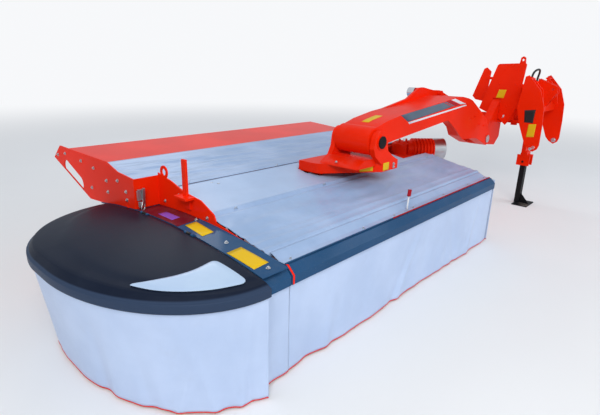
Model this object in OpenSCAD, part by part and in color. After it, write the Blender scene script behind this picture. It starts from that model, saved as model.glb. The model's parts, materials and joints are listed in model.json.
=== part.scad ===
/* [Front guard] */
// Length of the front bumper across the machine
bumper_len = 2670; // [2400:10:2680]
// Height of the bumper's folded sheet
bumper_h = 90; // [70:5:110]
// Height of the bumper's flat top above the ground
guard_top = 610; // [590:5:620]
// Depth of the bumper from its face to its rear edge
bumper_d = 105; // [95:5:110]
// Wall of the bumper's folded sheet
bumper_t = 10; // [6:1:14]
// Gap from the curtains' hem to the ground
hem_gap = 18; // [12:1:40]
// Thickness of the cloth
cloth_t = 8; // [6:1:10]

/* [Outer cover] */
// How far the moulded cover reaches past the end strip
cover_reach = 650; // [600:10:680]
// Wall of the moulded cover
cover_t = 6; // [4:1:8]
// Height of the cover's upright lip
lip_h = 46; // [40:1:50]
// Width of the step above the lip
lip_step = 14; // [10:1:20]

/* [Cutterbar] */
// Number of cutting discs
disc_count = 7; // [7:1:7]
// Distance between neighbouring disc axles
disc_pitch = 432; // [428:1:440]
// Radius of the blade tips' circle
tip_r = 259; // [250:1:264]
// Length of a blade beyond its bolt
blade_len = 96; // [80:1:104]
// Width of a blade
blade_w = 46; // [38:1:50]
// Thickness of a blade
blade_t = 4; // [3:1:5]
// Height of the gear case that carries the discs
case_h = 44; // [38:1:46]
// Depth of the gear case from front to back
case_d = 240; // [220:5:250]
// Thickness of the skids under the gear case
skid_t = 22; // [16:1:26]

/* [Conditioner] */
// Radius over the rotor's steel fingers
finger_r = 288; // [270:2:292]
// Radius of the rotor tube
rotor_tube_r = 84; // [70:2:100]
// Number of finger rings along the rotor
ring_count = 24; // [16:1:26]
// Number of fingers on each ring
ring_fingers = 5; // [4:1:6]
// Thickness of a finger
finger_t = 12; // [8:1:14]
// Thickness of the sheet metal over the rotor
sheet_t = 6; // [4:1:7]

/* [Carrying frame] */
// Height of the main beam's section
beam_h = 150; // [130:5:160]
// Depth of the main beam's section
beam_d = 160; // [150:5:165]
// Thickness of the upright end plates
plate_t = 8; // [6:1:8]
// Height of the centre pivot above the ground
pivot_z = 1030; // [1025:5:1040]
// Radius of the centre pivot's pin
pivot_pin_r = 38; // [30:1:42]
// Width of the arm between its side faces
arm_w = 304; // [296:2:306]
// Thickness of each ear of the centre bracket
ear_t = 40; // [30:2:44]
// Running gap beside the arm in the bracket
ear_gap = 8; // [6:1:10]

/* [Lift] */
// Height of the folding hinge above the ground
fold_z = 830; // [825:5:835]
// Radius of the folding hinge's pin
fold_pin_r = 32; // [26:1:36]
// Radius of the lift cylinder's barrel
barrel_r = 46; // [40:1:46]
// Radius of the lift cylinder's rod
rod_r = 26; // [20:1:28]
// Radial gap of the pins that turn in their bores
pin_gap = 0.4; // [0.3:0.1:0.6]

/* [Headstock] */
// Distance between the shoulders of the two lower hitch pins
hitch_span = 825; // [815:5:835]
// Radius of the lower hitch pins
hitch_pin_r = 14.2; // [14:0.1:14.4]
// Free length of each lower hitch pin
hitch_pin_len = 110; // [90:5:130]
// Height of the lower hitch pins above the ground
hitch_z = 752; // [745:1:765]
// Height of the top link hole above the lower pins
mast_h = 610; // [600:5:620]
// Radius of the top link's hole
top_hole_r = 12.85; // [12.8:0.05:13]
// Gap between the two top link plates
top_gap = 52; // [48:1:60]
// Radius of the safety swing's upright pin
swing_pin_r = 35; // [30:1:38]
// Radius of the input shaft
shaft_r = 17.4; // [17:0.1:18]

/* [Hidden] */

// Clearance between pieces that rest on each other
seat_gap = 0.3;

// Colours of the finishes
red = [0.83, 0.08, 0.03];
dark_grey = [0.13, 0.15, 0.19];
cloth_grey = [0.72, 0.76, 0.8];
steel = [0.62, 0.62, 0.62];

// Places across the machine, outward positive, from the bumper's outer corner
inner_x = -2850;
strip_in = -146;
strip_out = 28;
cover_x = strip_out + 8;
cloth_in = inner_x + 1;
cloth_out = strip_in - 4;
bumper_out = -172;
bumper_in = bumper_out - bumper_len;
beam_in = -2640;
rotor_in = -2688;
rotor_out = -165;
first_disc_x = 22;
pivot_x = -1520;
fold_x = -3720;
head_x = -4430;

// Places along the travel, forward positive, from the bumper's face
hinge_y = -190;
ridge_mid_y = -640;
ridge_rear_y = -1060;
cloth_rear_y = -1720;
hood_rear_y = -2290;
plate_rear_y = -2417;
step_y = -1150;
disc_y = -700;
rotor_y = -1250;
beam_front_y = -800;
beam_rear_y = beam_front_y - beam_d;
arm_front_y = -452;
arm_rear_y = arm_front_y - arm_w;
swing_y = -420;
hitch_y = -55;

// Heights above the ground
hinge_z = 628;
ridge_front_z = 655;
ridge_mid_z = 728;
ridge_rear_z = 800;
cloth_rear_z = 870;
hood_rear_z = 905;
beam_top = 715;
beam_low = beam_top - beam_h;
rotor_z = 430;
case_top = skid_t + case_h;

// Stations of the whole machine, for its origin under the middle of its box
far_out = cover_x + cover_reach;
far_in = head_x - hitch_span / 2 - hitch_pin_len;
far_front = 70;
origin_x = (far_out + far_in) / 2;
origin_y = (far_front + plate_rear_y) / 2;

// An outline of y and z pairs, carried across the machine
module across(x_from, x_to, outline) {
    translate([x_from, 0, 0]) rotate([90, 0, 90]) linear_extrude(x_to - x_from) polygon(outline);
}

// An outline of x and z pairs, carried along the travel
module along(y_from, y_to, outline) {
    translate([0, y_to, 0]) rotate([90, 0, 0]) linear_extrude(y_to - y_from) polygon(outline);
}

// A round bar across the machine
module bar_across(x_from, x_to, y, z, r) {
    translate([x_from, y, z]) rotate([0, 90, 0]) cylinder(h = x_to - x_from, r = r, $fn = 48);
}

// A round bar along the travel
module bar_along(y_from, y_to, x, z, r) {
    translate([x, y_to, z]) rotate([90, 0, 0]) cylinder(h = y_to - y_from, r = r, $fn = 48);
}

// A block between its low corner and its high corner
module block(low, high) {
    translate(low) cube(high - low);
}

// The arch that the end strip and the moulded cover follow, as part of a large ball
arch_y = -790;
arch_top = 694;
arch_r = 4770;
function arch_z(y) = arch_top - arch_r + sqrt(pow(arch_r, 2) - pow(y - arch_y, 2));

// Three-point headstock: leg plates, cross tubes, mast and the lugs of the safety swing
leg_t = 16;
leg_x = hitch_span / 2 - leg_t;
mast_inset = 130;
head_back_y = -220;
lug_low_z = 1000;
lug_high_z = 1330;
lug_t = 40;
lug_half = 95;
stand_y = -230;
stand_z = 520;
stand_pin_r = 12;
module headstock_frame() {
    leg = [[-150, 780], [-110, 735], [hitch_y, hitch_z - 46], [-15, 735], [0, 780], [-3, 983], [-16, 1177],
           [-78, 1353], [-216, 1505], [-250, 1490], [-286, 1167], [-250, 1018]];
    inner_mast = [[head_back_y, 1190], [-60, 1190], [-90, 1353], [-205, 1480], [head_back_y, 1480]];
    top_link = [[-130, 1130], [hitch_y + 46, hitch_z + mast_h - 40], [hitch_y + 46, hitch_z + mast_h + 24],
                [hitch_y, hitch_z + mast_h + 46], [head_back_y, 1470], [head_back_y, 1130]];
    color(red) translate([head_x, 0, 0]) difference() {
        union() {
            for (side = [0, 1]) mirror([side, 0, 0]) {
                across(leg_x, leg_x + leg_t, leg);
                across(leg_x - mast_inset, leg_x - mast_inset + leg_t, inner_mast);
                block([leg_x - mast_inset, -232, 1462], [leg_x + 1, -190, 1478]);
                across(top_gap / 2, top_gap / 2 + leg_t, top_link);
                across(50, 66, [[-300, 475], [-160, 475], [-160, 600], [-300, 600]]);
            }
            block([-leg_x, head_back_y, 1110], [leg_x, -110, 1210]);
            block([-66, -262, 560], [66, -196, 640]);
            block([-66, -262, 630], [66, head_back_y + 2, 1420]);
            block([-leg_x, head_back_y - 12, 1380], [leg_x, head_back_y + 4, 1440]);
            for (end = [[hose_route[0], 30], [hose_route[len(hose_route) - 1], 26]])
                translate(end[0] - [head_x, 0, 18]) cylinder(h = end[1], r = hose_r + 5, $fn = 6 * hose_r);
            for (z = [lug_low_z - lug_t, lug_high_z]) {
                block([-lug_half, swing_y, z], [lug_half, head_back_y + 1, z + lug_t]);
                translate([0, swing_y, z]) cylinder(h = lug_t, r = lug_half, $fn = 64);
            }
            translate([0, swing_y, lug_low_z - lug_t - 30])
                cylinder(h = lug_high_z - lug_low_z + 2 * lug_t + 60, r = swing_pin_r, $fn = 64);
        }
        bar_across(-2 * top_gap, 2 * top_gap, hitch_y, hitch_z + mast_h, top_hole_r);
        for (side = [0, 1]) mirror([side, 0, 0])
            bar_across(leg_x - 1, leg_x + leg_t + 1, hitch_y, hitch_z, hitch_pin_r + 4);
        bar_across(-80, 80, stand_y, stand_z, stand_pin_r + pin_gap);
        for (end = [hose_route[0], hose_route[len(hose_route) - 1]])
            translate(end - [head_x, 0, 2]) cylinder(h = 80, r = hose_r + seat_gap, $fn = 6 * hose_r);
    }
}

// Free hydraulic hose, arched between two fittings on the headstock
hose_r = 11;
hose_sides = 10;
hose_route = [[-4100, -210, 1474], [-4100, -210, 1494], [-4108, -206, 1522], [-4132, -200, 1546],
              [-4172, -192, 1561], [-4216, -188, 1565], [-4258, -190, 1560], [-4298, -198, 1545],
              [-4328, -208, 1522], [-4344, -218, 1494], [-4350, -224, 1464], [-4350, -224, 1444], [-4350, -224, 1434]];
function unit(v) = v / norm(v);
function hose_way(i) = unit(hose_route[min(i + 1, len(hose_route) - 1)] - hose_route[max(i - 1, 0)]);
function hose_side(i) = unit(cross(hose_way(i), [0, 1, 0]));
module feed_hose() {
    last = len(hose_route) - 1;
    ring_points = [for (i = [0 : last]) for (k = [0 : hose_sides - 1])
        let (a = 360 * k / hose_sides, s = hose_side(i), u = cross(s, hose_way(i)))
        hose_route[i] + hose_r * (cos(a) * s + sin(a) * u)];
    walls = [for (i = [0 : last - 1]) for (k = [0 : hose_sides - 1])
        let (n = (k + 1) % hose_sides, a = i * hose_sides, b = a + hose_sides)
        [a + k, b + k, b + n, a + n]];
    color(dark_grey) polyhedron(ring_points, concat(walls,
        [[for (k = [0 : hose_sides - 1]) k]],
        [[for (k = [hose_sides - 1 : -1 : 0]) last * hose_sides + k]]), convexity = 4);
}

// Two lower hitch pins, each shouldered through its leg plate
module hitch_pins() {
    color(steel) translate([head_x, 0, 0]) for (side = [0, 1]) mirror([side, 0, 0]) {
        bar_across(leg_x - 24, leg_x + leg_t, hitch_y, hitch_z, hitch_pin_r + 4);
        bar_across(leg_x + leg_t, leg_x + leg_t + hitch_pin_len, hitch_y, hitch_z, hitch_pin_r);
        bar_across(leg_x - 14, leg_x, hitch_y, hitch_z, hitch_pin_r + 12);
    }
}

// Folding parking stand under the headstock, its foot a little ahead of its pin
module parking_stand() {
    color(dark_grey) translate([head_x, 0, 0]) {
        block([-40, stand_y - 28, 12], [40, stand_y + 28, stand_z]);
        bar_across(-47, 47, stand_y, stand_z, 28);
        block([-140, stand_y - 20, 0], [140, stand_y + 150, 12]);
        across(-6, 6, [[stand_y + 27, 11], [stand_y + 130, 11], [stand_y + 27, 130]]);
        bar_across(-74, 74, stand_y, stand_z, stand_pin_r);
    }
}

// Turret on the upright pin: barrel, box, hinge lug and the lift cylinder's lug
barrel_x = -4280;
barrel_z = 850;
barrel_pin_r = 20;
cyl_y = -850;
lug_y = [-648, -562];
module turret() {
    lug = [[fold_x, fold_z - 70], [-4280, 690], [-4400, 780], [-4400, 1230], [-4285, 1230], [-4120, 1080],
           [-3970, 890], [fold_x, fold_z + 70]];
    box = [[-700, 960], [-470, 960], [-400, 1010], [-400, 1540], [-640, 1580]];
    color(red) difference() {
        union() {
            translate([head_x, swing_y, lug_low_z + 2]) cylinder(h = lug_high_z - lug_low_z - 4, r = 78, $fn = 64);
            block([head_x - 20, -560, lug_low_z + 2], [-4285, -400, lug_high_z - 2]);
            across(-4330, -4285, box);
            along(lug_y[0], lug_y[1], lug);
            bar_along(lug_y[0], lug_y[1], fold_x, fold_z, 70);
            along(-790, -640, [[-4330, 790], [-4235, 790], [-4235, 910], [-4290, 1060], [-4330, 1060]]);
            bar_along(-908, -780, barrel_x, barrel_z, barrel_pin_r);
        }
        translate([head_x, swing_y, lug_low_z]) cylinder(h = 400, r = swing_pin_r + pin_gap, $fn = 64);
        bar_along(-700, -500, fold_x, fold_z, fold_pin_r + pin_gap);
    }
}

// Cover plates of the turret: the inclined face, the wing behind it and the top eye
module turret_covers() {
    face = [[-650, 1604], [-630, 1618], [-350, 1630], [-337, 1615], [-366, 1180], [-425, 1000], [-470, 936],
            [-560, 1010], [-797, 1105]];
    wing = [[-830, 1560], [-800, 1575], [-745, 1530], [-770, 1180], [-890, 1200], [-930, 1240]];
    color(red) {
        difference() {
            across(-4285, -4263, face);
            block([-4290, lug_y[0] - 2, 900], [-4260, lug_y[1] + 2, 1234]);
            block([-4290, -800, 900], [-4260, lug_y[0], 1062]);
        }
        across(-4360, -4340, wing);
        block([-4341, -800, 1240], [-4330, -655, 1300]);
        block([-4341, -790, 1440], [-4330, -630, 1470]);
        block([-4395, -450, 1596], [-4284, -390, 1612]);
        difference() {
            across(-4390, -4370, [[-450, 1600], [-380, 1600], [-390, 1690], [-415, 1705], [-440, 1690]]);
            bar_across(-4400, -4360, -415, 1665, 13);
        }
    }
}

// The lift cylinder in its own line, from its lug on the turret to the eye beside the arm
rod_eye_x = -2700;
rod_eye_z = 1330;
cyl_run = sqrt(pow(rod_eye_x - barrel_x, 2) + pow(rod_eye_z - barrel_z, 2));
cyl_tilt = atan2(rod_eye_z - barrel_z, rod_eye_x - barrel_x);
barrel_len = 900;
rod_start = 740;
module on_cylinder() {
    translate([barrel_x, cyl_y, barrel_z]) rotate([0, -cyl_tilt, 0]) children();
}
module lift_barrel() {
    color(red) on_cylinder() difference() {
        union() {
            bar_across(40, barrel_len, 0, 0, barrel_r);
            bar_across(barrel_len - 40, barrel_len, 0, 0, barrel_r + 6);
            bar_along(-38, 38, 0, 0, 48);
        }
        bar_across(78, barrel_len + 1, 0, 0, rod_r + 1);
        bar_along(-60, 60, 0, 0, barrel_pin_r + pin_gap);
    }
}
module lift_rod() {
    color(steel) on_cylinder() {
        bar_across(rod_start, cyl_run - 20, 0, 0, rod_r);
        bar_along(-34, 34, cyl_run, 0, 44);
        bar_along(-49, 49, cyl_run, 0, 20);
    }
}

// Gooseneck arm: hub, box beam, knee, fork round the turret's lug and the crest plate
module arm_beam() {
    side = [[pivot_x + 60, pivot_z + 84], [pivot_x - 120, 1165], [-1880, 1205], [-2623, 1279], [-2814, 1304],
            [-2960, 1302], [-3087, 1285], [-3190, 1262], [-3277, 1220], [-3480, 1125], [-3661, 1034],
            [fold_x - 20, fold_z + 84], [fold_x - 70, fold_z], [fold_x, fold_z - 70],
            [-3406, 868], [-3330, 960], [-3200, 1030], [-3060, 1075],
            [-2900, 1104], [-2646, 1097], [pivot_x - 180, 1004], [pivot_x - 30, pivot_z - 100]];
    gusset = [[-2700, 1098], [-2900, 990], [-3058, 890], [-3198, 880], [-3406, 868], [-3330, 962],
              [-3200, 1032], [-3060, 1077], [-2900, 1106]];
    crest = [[-2000, 1215], [-2410, 1285], [-2560, 1352], [-2614, 1376], [-2700, 1380], [-2900, 1350],
             [-3040, 1345], [-3298, 1270], [-3250, 1220], [-2600, 1260]];
    color(red) difference() {
        union() {
            along(arm_rear_y, arm_front_y, side);
            bar_along(arm_rear_y, arm_front_y, pivot_x, pivot_z, 105);
            along(arm_front_y - 14, arm_front_y, gusset);
            along(arm_rear_y, arm_rear_y + 22, crest);
            bar_along(-800, arm_rear_y + 22, rod_eye_x, rod_eye_z, 44);
            bar_along(arm_rear_y, arm_rear_y + 60, -3012, 1318, 26);
        }
        bar_along(arm_rear_y - 1, arm_front_y + 1, pivot_x, pivot_z, pivot_pin_r + pin_gap);
        bar_along(lug_y[0] - 6, lug_y[1] + 6, fold_x, fold_z, 235);
        bar_along(arm_rear_y - 1, arm_front_y + 1, fold_x, fold_z, fold_pin_r);
    }
}

// The folding hinge's pin with its two heads
module arm_pins() {
    color(steel) {
        bar_along(arm_rear_y - 12, arm_front_y + 12, fold_x, fold_z, fold_pin_r);
        bar_along(arm_front_y, arm_front_y + 12, fold_x, fold_z, fold_pin_r + 10);
        bar_along(arm_rear_y - 12, arm_rear_y, fold_x, fold_z, fold_pin_r + 10);
    }
}

// Centre bracket: two ears and a saddle on a boot-shaped foot that stands on the beam
ear_front_y = arm_front_y + ear_gap;
ear_rear_y = arm_rear_y - ear_gap;
foot_low = 775;
foot_top = 850;
foot_x = [-1790, -1240];
boss_r = 84;
boss_collar = 6;
module pivot_bracket() {
    front_y = ear_front_y + ear_t;
    rear_y = ear_rear_y - ear_t;
    // Seen from above: x and y of the boot, its toe to the outer side
    plan = [[-1775, front_y], [-1560, front_y], [-1262, -752], [foot_x[1], -800], [foot_x[1], beam_rear_y],
            [foot_x[0], beam_rear_y], [foot_x[0], front_y - 16]];
    // Seen from the side: y and z of the boot
    profile = [[front_y, 802], [front_y, 870], [-560, 875], [-752, foot_top], [beam_rear_y, foot_top],
               [beam_rear_y, foot_low], [-752, foot_low]];
    saddle = [[-1740, foot_top - 2], [-1740, 868], [-1690, 905], [-1375, 905], [-1300, 860], [-1290, foot_top - 2]];
    boss = [[pivot_x - boss_r, pivot_z], [pivot_x + boss_r, pivot_z]];
    front_ear = concat(boss, [[-1430, 985], [-1455, 930], [-1510, 885], [-1560, foot_top], [-1775, foot_top],
                              [-1775, 868], [-1700, 905], [-1625, 955]]);
    rear_ear = concat(boss, [[-1428, 970], [-1395, 905], [-1330, 868], [-1300, foot_top - 2], [-1700, foot_top - 2],
                             [-1640, 940]]);
    color(red) difference() {
        union() {
            intersection() {
                translate([0, 0, foot_low - 1]) linear_extrude(200) polygon(plan);
                across(foot_x[0] - 1, foot_x[1] + 1, profile);
            }
            block([foot_x[0], beam_rear_y, beam_top], [foot_x[1] - 60, beam_front_y, foot_low + 1]);
            along(ear_rear_y - 1, ear_front_y + 1, saddle);
            along(ear_front_y, front_y, front_ear);
            along(rear_y, ear_rear_y, rear_ear);
            for (y = [ear_front_y, rear_y]) bar_along(y, y + ear_t, pivot_x, pivot_z, boss_r);
            bar_along(front_y - 1, front_y + boss_collar, pivot_x, pivot_z, pivot_pin_r + 18);
            bar_along(rear_y - boss_collar, rear_y + 1, pivot_x, pivot_z, pivot_pin_r + 18);
        }
        bar_along(rear_y - 20, front_y + 20, pivot_x, pivot_z, pivot_pin_r);
    }
}
module pivot_pin() {
    color(dark_grey) {
        bar_along(ear_rear_y - ear_t - 10, ear_front_y + ear_t + 10, pivot_x, pivot_z, pivot_pin_r);
        bar_along(ear_front_y + ear_t + boss_collar, ear_front_y + ear_t + 16, pivot_x, pivot_z, pivot_pin_r + 8);
        bar_along(ear_rear_y - ear_t - 16, ear_rear_y - ear_t - boss_collar, pivot_x, pivot_z, pivot_pin_r + 8);
    }
}

// Box beam from the gearbox to the outer end plate
module main_beam() {
    color(red) block([beam_in, beam_rear_y, beam_low], [strip_in, beam_front_y, beam_top]);
}

// Tubes and arms that carry the cloth and the front guard's hinge
frame_arm_x = [-330, -1000, -1960, -2560];
tube_r = 14;
hinge_tube_r = 16;
tie_z = 652;
module canvas_frame() {
    under_mid = ridge_mid_z - cloth_t - seat_gap;
    tube_z = ridge_rear_z - cloth_t - 2 * seat_gap - tube_r;
    front_arm = [[beam_front_y, 600], [hinge_y - 60, 600], [hinge_y, hinge_z - 12], [hinge_y, hinge_z + 12],
                 [ridge_mid_y, under_mid], [beam_front_y, under_mid]];
    rear_arm = [[beam_rear_y, tie_z + seat_gap], [-1010, tie_z + seat_gap], [ridge_rear_y, tube_z - 30],
                [ridge_rear_y, tube_z], [beam_rear_y, 710]];
    color(red) {
        bar_across(inner_x, strip_in, hinge_y, hinge_z, hinge_tube_r);
        bar_across(inner_x, strip_in, ridge_rear_y, tube_z, tube_r);
        for (x = frame_arm_x) {
            across(x - 20, x + 20, front_arm);
            across(x - 20, x + 20, rear_arm);
        }
    }
}

// Inner end plate, from the front hinge tube back to the hood, open for the drive line
module inner_side_plate() {
    outline = [[-160, 596], [-160, 640], [ridge_mid_y, ridge_mid_z - 14], [ridge_rear_y, ridge_rear_z - 14],
               [cloth_rear_y, cloth_rear_z - 14], [hood_rear_y, hood_rear_z - 12], [-2330, 800], [-2200, 640],
               [-1800, 600], [-1100, 545], [beam_front_y, 545], [-420, 560]];
    color(red) difference() {
        across(inner_x - plate_t, inner_x, outline);
        block([inner_x - plate_t - 1, -1070, 625], [inner_x + 1, -715, 900]);
    }
}

// Outer end plate with its oval window, stepped in to the front plate of the beam's end
window_y = -2070;
window_z = 735;
window_r = 52;
window_len = 230;
window_tilt = -22;
module outer_side_plate() {
    rear = [[step_y, arch_z(step_y) + 3], [step_y, 872], [-1355, 884], [-1500, 926], [-2275, 926],
            [plate_rear_y, 818], [-1815, 606], [-1640, arch_z(-1640) + 3], [-1400, arch_z(-1400) + 3]];
    front = [[step_y, 560], [step_y, 890], [-1000, 862], [-860, 822], [-700, 805], [-579, 748], [-560, 706],
             [-210, 644], [-160, 636], [-160, 560]];
    color(red) {
        difference() {
            across(strip_out - plate_t, strip_out, rear);
            translate([strip_out - plate_t - 1, window_y, window_z]) rotate([90, 0, 90])
                linear_extrude(plate_t + 2) rotate(window_tilt) {
                    for (side = [-1, 1]) translate([side * window_len / 2, 0]) circle(r = window_r, $fn = 64);
                    square([window_len, 2 * window_r], center = true);
                }
        }
        block([strip_in, step_y - plate_t, arch_z(step_y) + 3], [strip_out, step_y, 872]);
        difference() {
            union() {
                across(strip_in, strip_in + plate_t, front);
                bar_across(strip_in, strip_in + plate_t, -1080, 905, 40);
            }
            bar_across(strip_in - 1, strip_in + plate_t + 1, -1080, 905, 22);
        }
    }
}

// Arched end strip between the cloth and the cover, its front corner block, webs and hinge knuckles
strip_rear_y = -1640;
cover_hinge_x = cover_x + 2;
cover_hinge_z = 690;
cover_hinge_y = [arch_y - 230, arch_y + 230];
knuckle_r = 9;
knuckle_half = 20;
knuckle_pin_r = 4;
module end_strip() {
    bevel = 42;
    corner = [[0, guard_top - bumper_h], [0, guard_top - bevel], [-bevel, guard_top], [-bumper_d, guard_top],
              [-bumper_d, guard_top - bumper_h]];
    x_from = strip_in + plate_t;
    color(dark_grey) {
        intersection() {
            translate([x_from, arch_y, arch_top - arch_r]) rotate([0, 90, 0]) difference() {
                cylinder(h = strip_out - x_from, r = arch_r, $fn = 720);
                translate([0, 0, -1]) cylinder(h = strip_out - x_from + 2, r = arch_r - sheet_t, $fn = 720);
            }
            block([x_from, strip_rear_y, 560], [strip_out, 0, 720]);
        }
        across(bumper_out + 7, strip_out, corner);
        block([x_from, -900, 560], [x_from + 8, -100, 600]);
        for (y = [-60, -300, -800, -1300])
            block([x_from, y - 5, 560], [10, y + 5, arch_z(y) - sheet_t / 2]);
        for (y = cover_hinge_y) {
            for (side = [0, 1]) translate([0, y, 0]) mirror([0, side, 0]) {
                bar_along(knuckle_half + 1, 2 * knuckle_half, cover_hinge_x, cover_hinge_z, knuckle_r);
                block([strip_out - 8, knuckle_half + 1, cover_hinge_z - 6],
                      [cover_hinge_x, 2 * knuckle_half, cover_hinge_z - 1]);
            }
            bar_along(y - 2 * knuckle_half, y + 2 * knuckle_half, cover_hinge_x, cover_hinge_z, knuckle_pin_r);
        }
    }
}

// Sheet-metal hood behind the cloth, with the brackets of the swath doors' pins
door_out_x = -190;
door_in_x = -2670;
door_y = -1715;
door_pin_r = 10;
door_pin_top = 845;
module rear_hood() {
    front = cloth_rear_y + 60;
    slope = (cloth_rear_z - ridge_rear_z) / (ridge_rear_y - cloth_rear_y);
    seat_z = cloth_rear_z - cloth_t - seat_gap;
    front_z = seat_z - slope * (front - cloth_rear_y);
    outline = [[front, front_z], [cloth_rear_y, seat_z], [hood_rear_y + 20, hood_rear_z - 6],
               [hood_rear_y, hood_rear_z - 20], [hood_rear_y, hood_rear_z - 70],
               [hood_rear_y + sheet_t, hood_rear_z - 70], [hood_rear_y + sheet_t, hood_rear_z - 24],
               [hood_rear_y + 22, hood_rear_z - 12], [cloth_rear_y, seat_z - sheet_t], [front, front_z - sheet_t]];
    color(red) difference() {
        union() {
            across(inner_x, strip_out - plate_t, outline);
            for (x = [door_out_x, door_in_x])
                block([x - 30, door_y - 30, 815], [x + 30, door_y + 30, seat_z - sheet_t + 1]);
        }
        for (x = [door_out_x, door_in_x])
            translate([x, door_y, 800]) cylinder(h = door_pin_top + 2 - 800, r = door_pin_r + pin_gap, $fn = 48);
    }
}

// Cloth panels between the ridges, open round the bracket and over the gearbox
opening_x = -2420;
module cloth_panel(y_from, z_from, y_to, z_to, x_to) {
    across(cloth_in, x_to, [[y_from, z_from], [y_to, z_to], [y_to, z_to - cloth_t], [y_from, z_from - cloth_t]]);
}
module front_canvas() {
    color(cloth_grey) cloth_panel(hinge_y - 36, ridge_front_z, ridge_mid_y, ridge_mid_z, cloth_out);
}
module mid_canvas() {
    color(cloth_grey) difference() {
        cloth_panel(ridge_mid_y - 1, ridge_mid_z, ridge_rear_y, ridge_rear_z, cloth_out);
        block([foot_x[0] - 10, beam_rear_y - 10, 600], [foot_x[1] + 10, ridge_mid_y, 900]);
        block([inner_x, ridge_rear_y - 1, 600], [opening_x, -700, 900]);
    }
}
module rear_canvas() {
    color(cloth_grey) difference() {
        cloth_panel(ridge_rear_y - 1, ridge_rear_z, cloth_rear_y, cloth_rear_z, strip_out - plate_t - 2);
        block([cloth_out, step_y - plate_t - 2, 600], [strip_out, ridge_rear_y, 900]);
    }
}

// Curtains at the machine's inner end and under the outer front corner
module end_curtains() {
    hang_x = inner_x - plate_t;
    color(cloth_grey) {
        block([hang_x - 6 - cloth_t, -560, hem_gap], [hang_x - 6, -12, 596]);
        block([hang_x - 6, -560, 580], [hang_x, -170, 596]);
        block([bumper_out + 8, -2 * cloth_t - 2, hem_gap], [strip_out, -cloth_t - 2, guard_top - bumper_h]);
    }
}

// Cutting height lever in its bracket on the front plate
module height_lever() {
    face = strip_in + plate_t;
    color(red) {
        block([face, -880, 796], [face + 60, -760, 812]);
        block([face + 14, -832, 811], [face + 30, -792, 1030]);
        block([face, -860, 730], [face + 12, -790, 797]);
    }
}

// Flat gear case with a raised seat under each disc
module cutterbar() {
    last_disc_x = first_disc_x - (disc_count - 1) * disc_pitch;
    rear = disc_y - case_d / 2;
    nose = disc_y + case_d / 2;
    profile = [[rear, skid_t], [rear, case_top], [nose - 46, case_top], [nose - 12, case_top - 10],
               [nose, case_top - 24], [nose - 6, skid_t + 6], [nose - 26, skid_t]];
    color(dark_grey) {
        across(last_disc_x - 150, first_disc_x + 150, profile);
        for (i = [0 : disc_count - 1])
            translate([first_disc_x - i * disc_pitch, disc_y, case_top - 1]) cylinder(h = 6, r = 90, $fn = 64);
    }
}

// Skid shoes, one under each disc, turned up at the front
module skids() {
    shoe = [[-500, skid_t + 34], [-508, skid_t + 24], [-556, 0], [-1080, 0], [-1080, skid_t], [-566, skid_t],
            [-514, skid_t + 34]];
    color(steel) for (i = [0 : disc_count - 1])
        translate([first_disc_x - i * disc_pitch, 0, 0]) across(-150, 150, shoe);
}

// One disc: oval plate, raised centre and two blades hung under its ends
module cutting_disc(i) {
    bolt_r = tip_r - blade_len;
    deck = case_top + 5 + seat_gap;
    turn = i % 2 == 0 ? 0 : 90;
    translate([first_disc_x - i * disc_pitch, disc_y, deck]) rotate([0, 0, turn]) {
        color(red) {
            translate([0, 0, 9]) linear_extrude(8) intersection() {
                circle(r = tip_r - 52, $fn = 96);
                square([2 * tip_r, 300], center = true);
            }
            cylinder(h = 10, r = 60, $fn = 48);
            translate([0, 0, 16]) cylinder(h = 16, r1 = 112, r2 = 70, $fn = 64);
            translate([0, 0, 31]) cylinder(h = 12, r = 34, $fn = 48);
        }
        color(steel) for (side = [0, 1]) mirror([side, 0, 0]) {
            translate([bolt_r, 0, 1]) cylinder(h = 20, r = 14, $fn = 48);
            translate([bolt_r - 20, -blade_w / 2, 4]) cube([blade_len + 20, blade_w, blade_t]);
        }
    }
}

// Rotor: a tube with rings of swept-back steel fingers and a stub at each end
finger_sweep = 15;
module finger() {
    root = rotor_tube_r - 2;
    mid = (rotor_tube_r + finger_r) / 2;
    bend = finger_sweep * 0.35;
    // Stations along the finger: radius, angle swept back, half width
    stations = [[root, 0, 26], [mid, bend, 15], [finger_r - 4, finger_sweep, 9]];
    polygon(concat([for (s = stations) [s[0] * cos(s[1]), s[0] * sin(s[1]) - s[2]]],
                   [for (k = [2, 1, 0]) let (s = stations[k]) [s[0] * cos(s[1]), s[0] * sin(s[1]) + s[2]]]));
}
module conditioner_rotor() {
    end_room = 36;
    ring_step = (rotor_out - rotor_in - 2 * end_room - finger_t) / (ring_count - 1);
    color(dark_grey) {
        bar_across(rotor_in, rotor_out, rotor_y, rotor_z, rotor_tube_r);
        bar_across(rotor_in - 44, rotor_out + 32, rotor_y, rotor_z, 30);
        for (i = [0 : ring_count - 1])
            translate([rotor_in + end_room + i * ring_step, rotor_y, rotor_z]) rotate([90, 0, 90])
                rotate(i * 720 / ring_fingers / 5) linear_extrude(finger_t)
                    for (k = [1 : ring_fingers]) rotate(k * 360 / ring_fingers) finger();
    }
}

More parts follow.
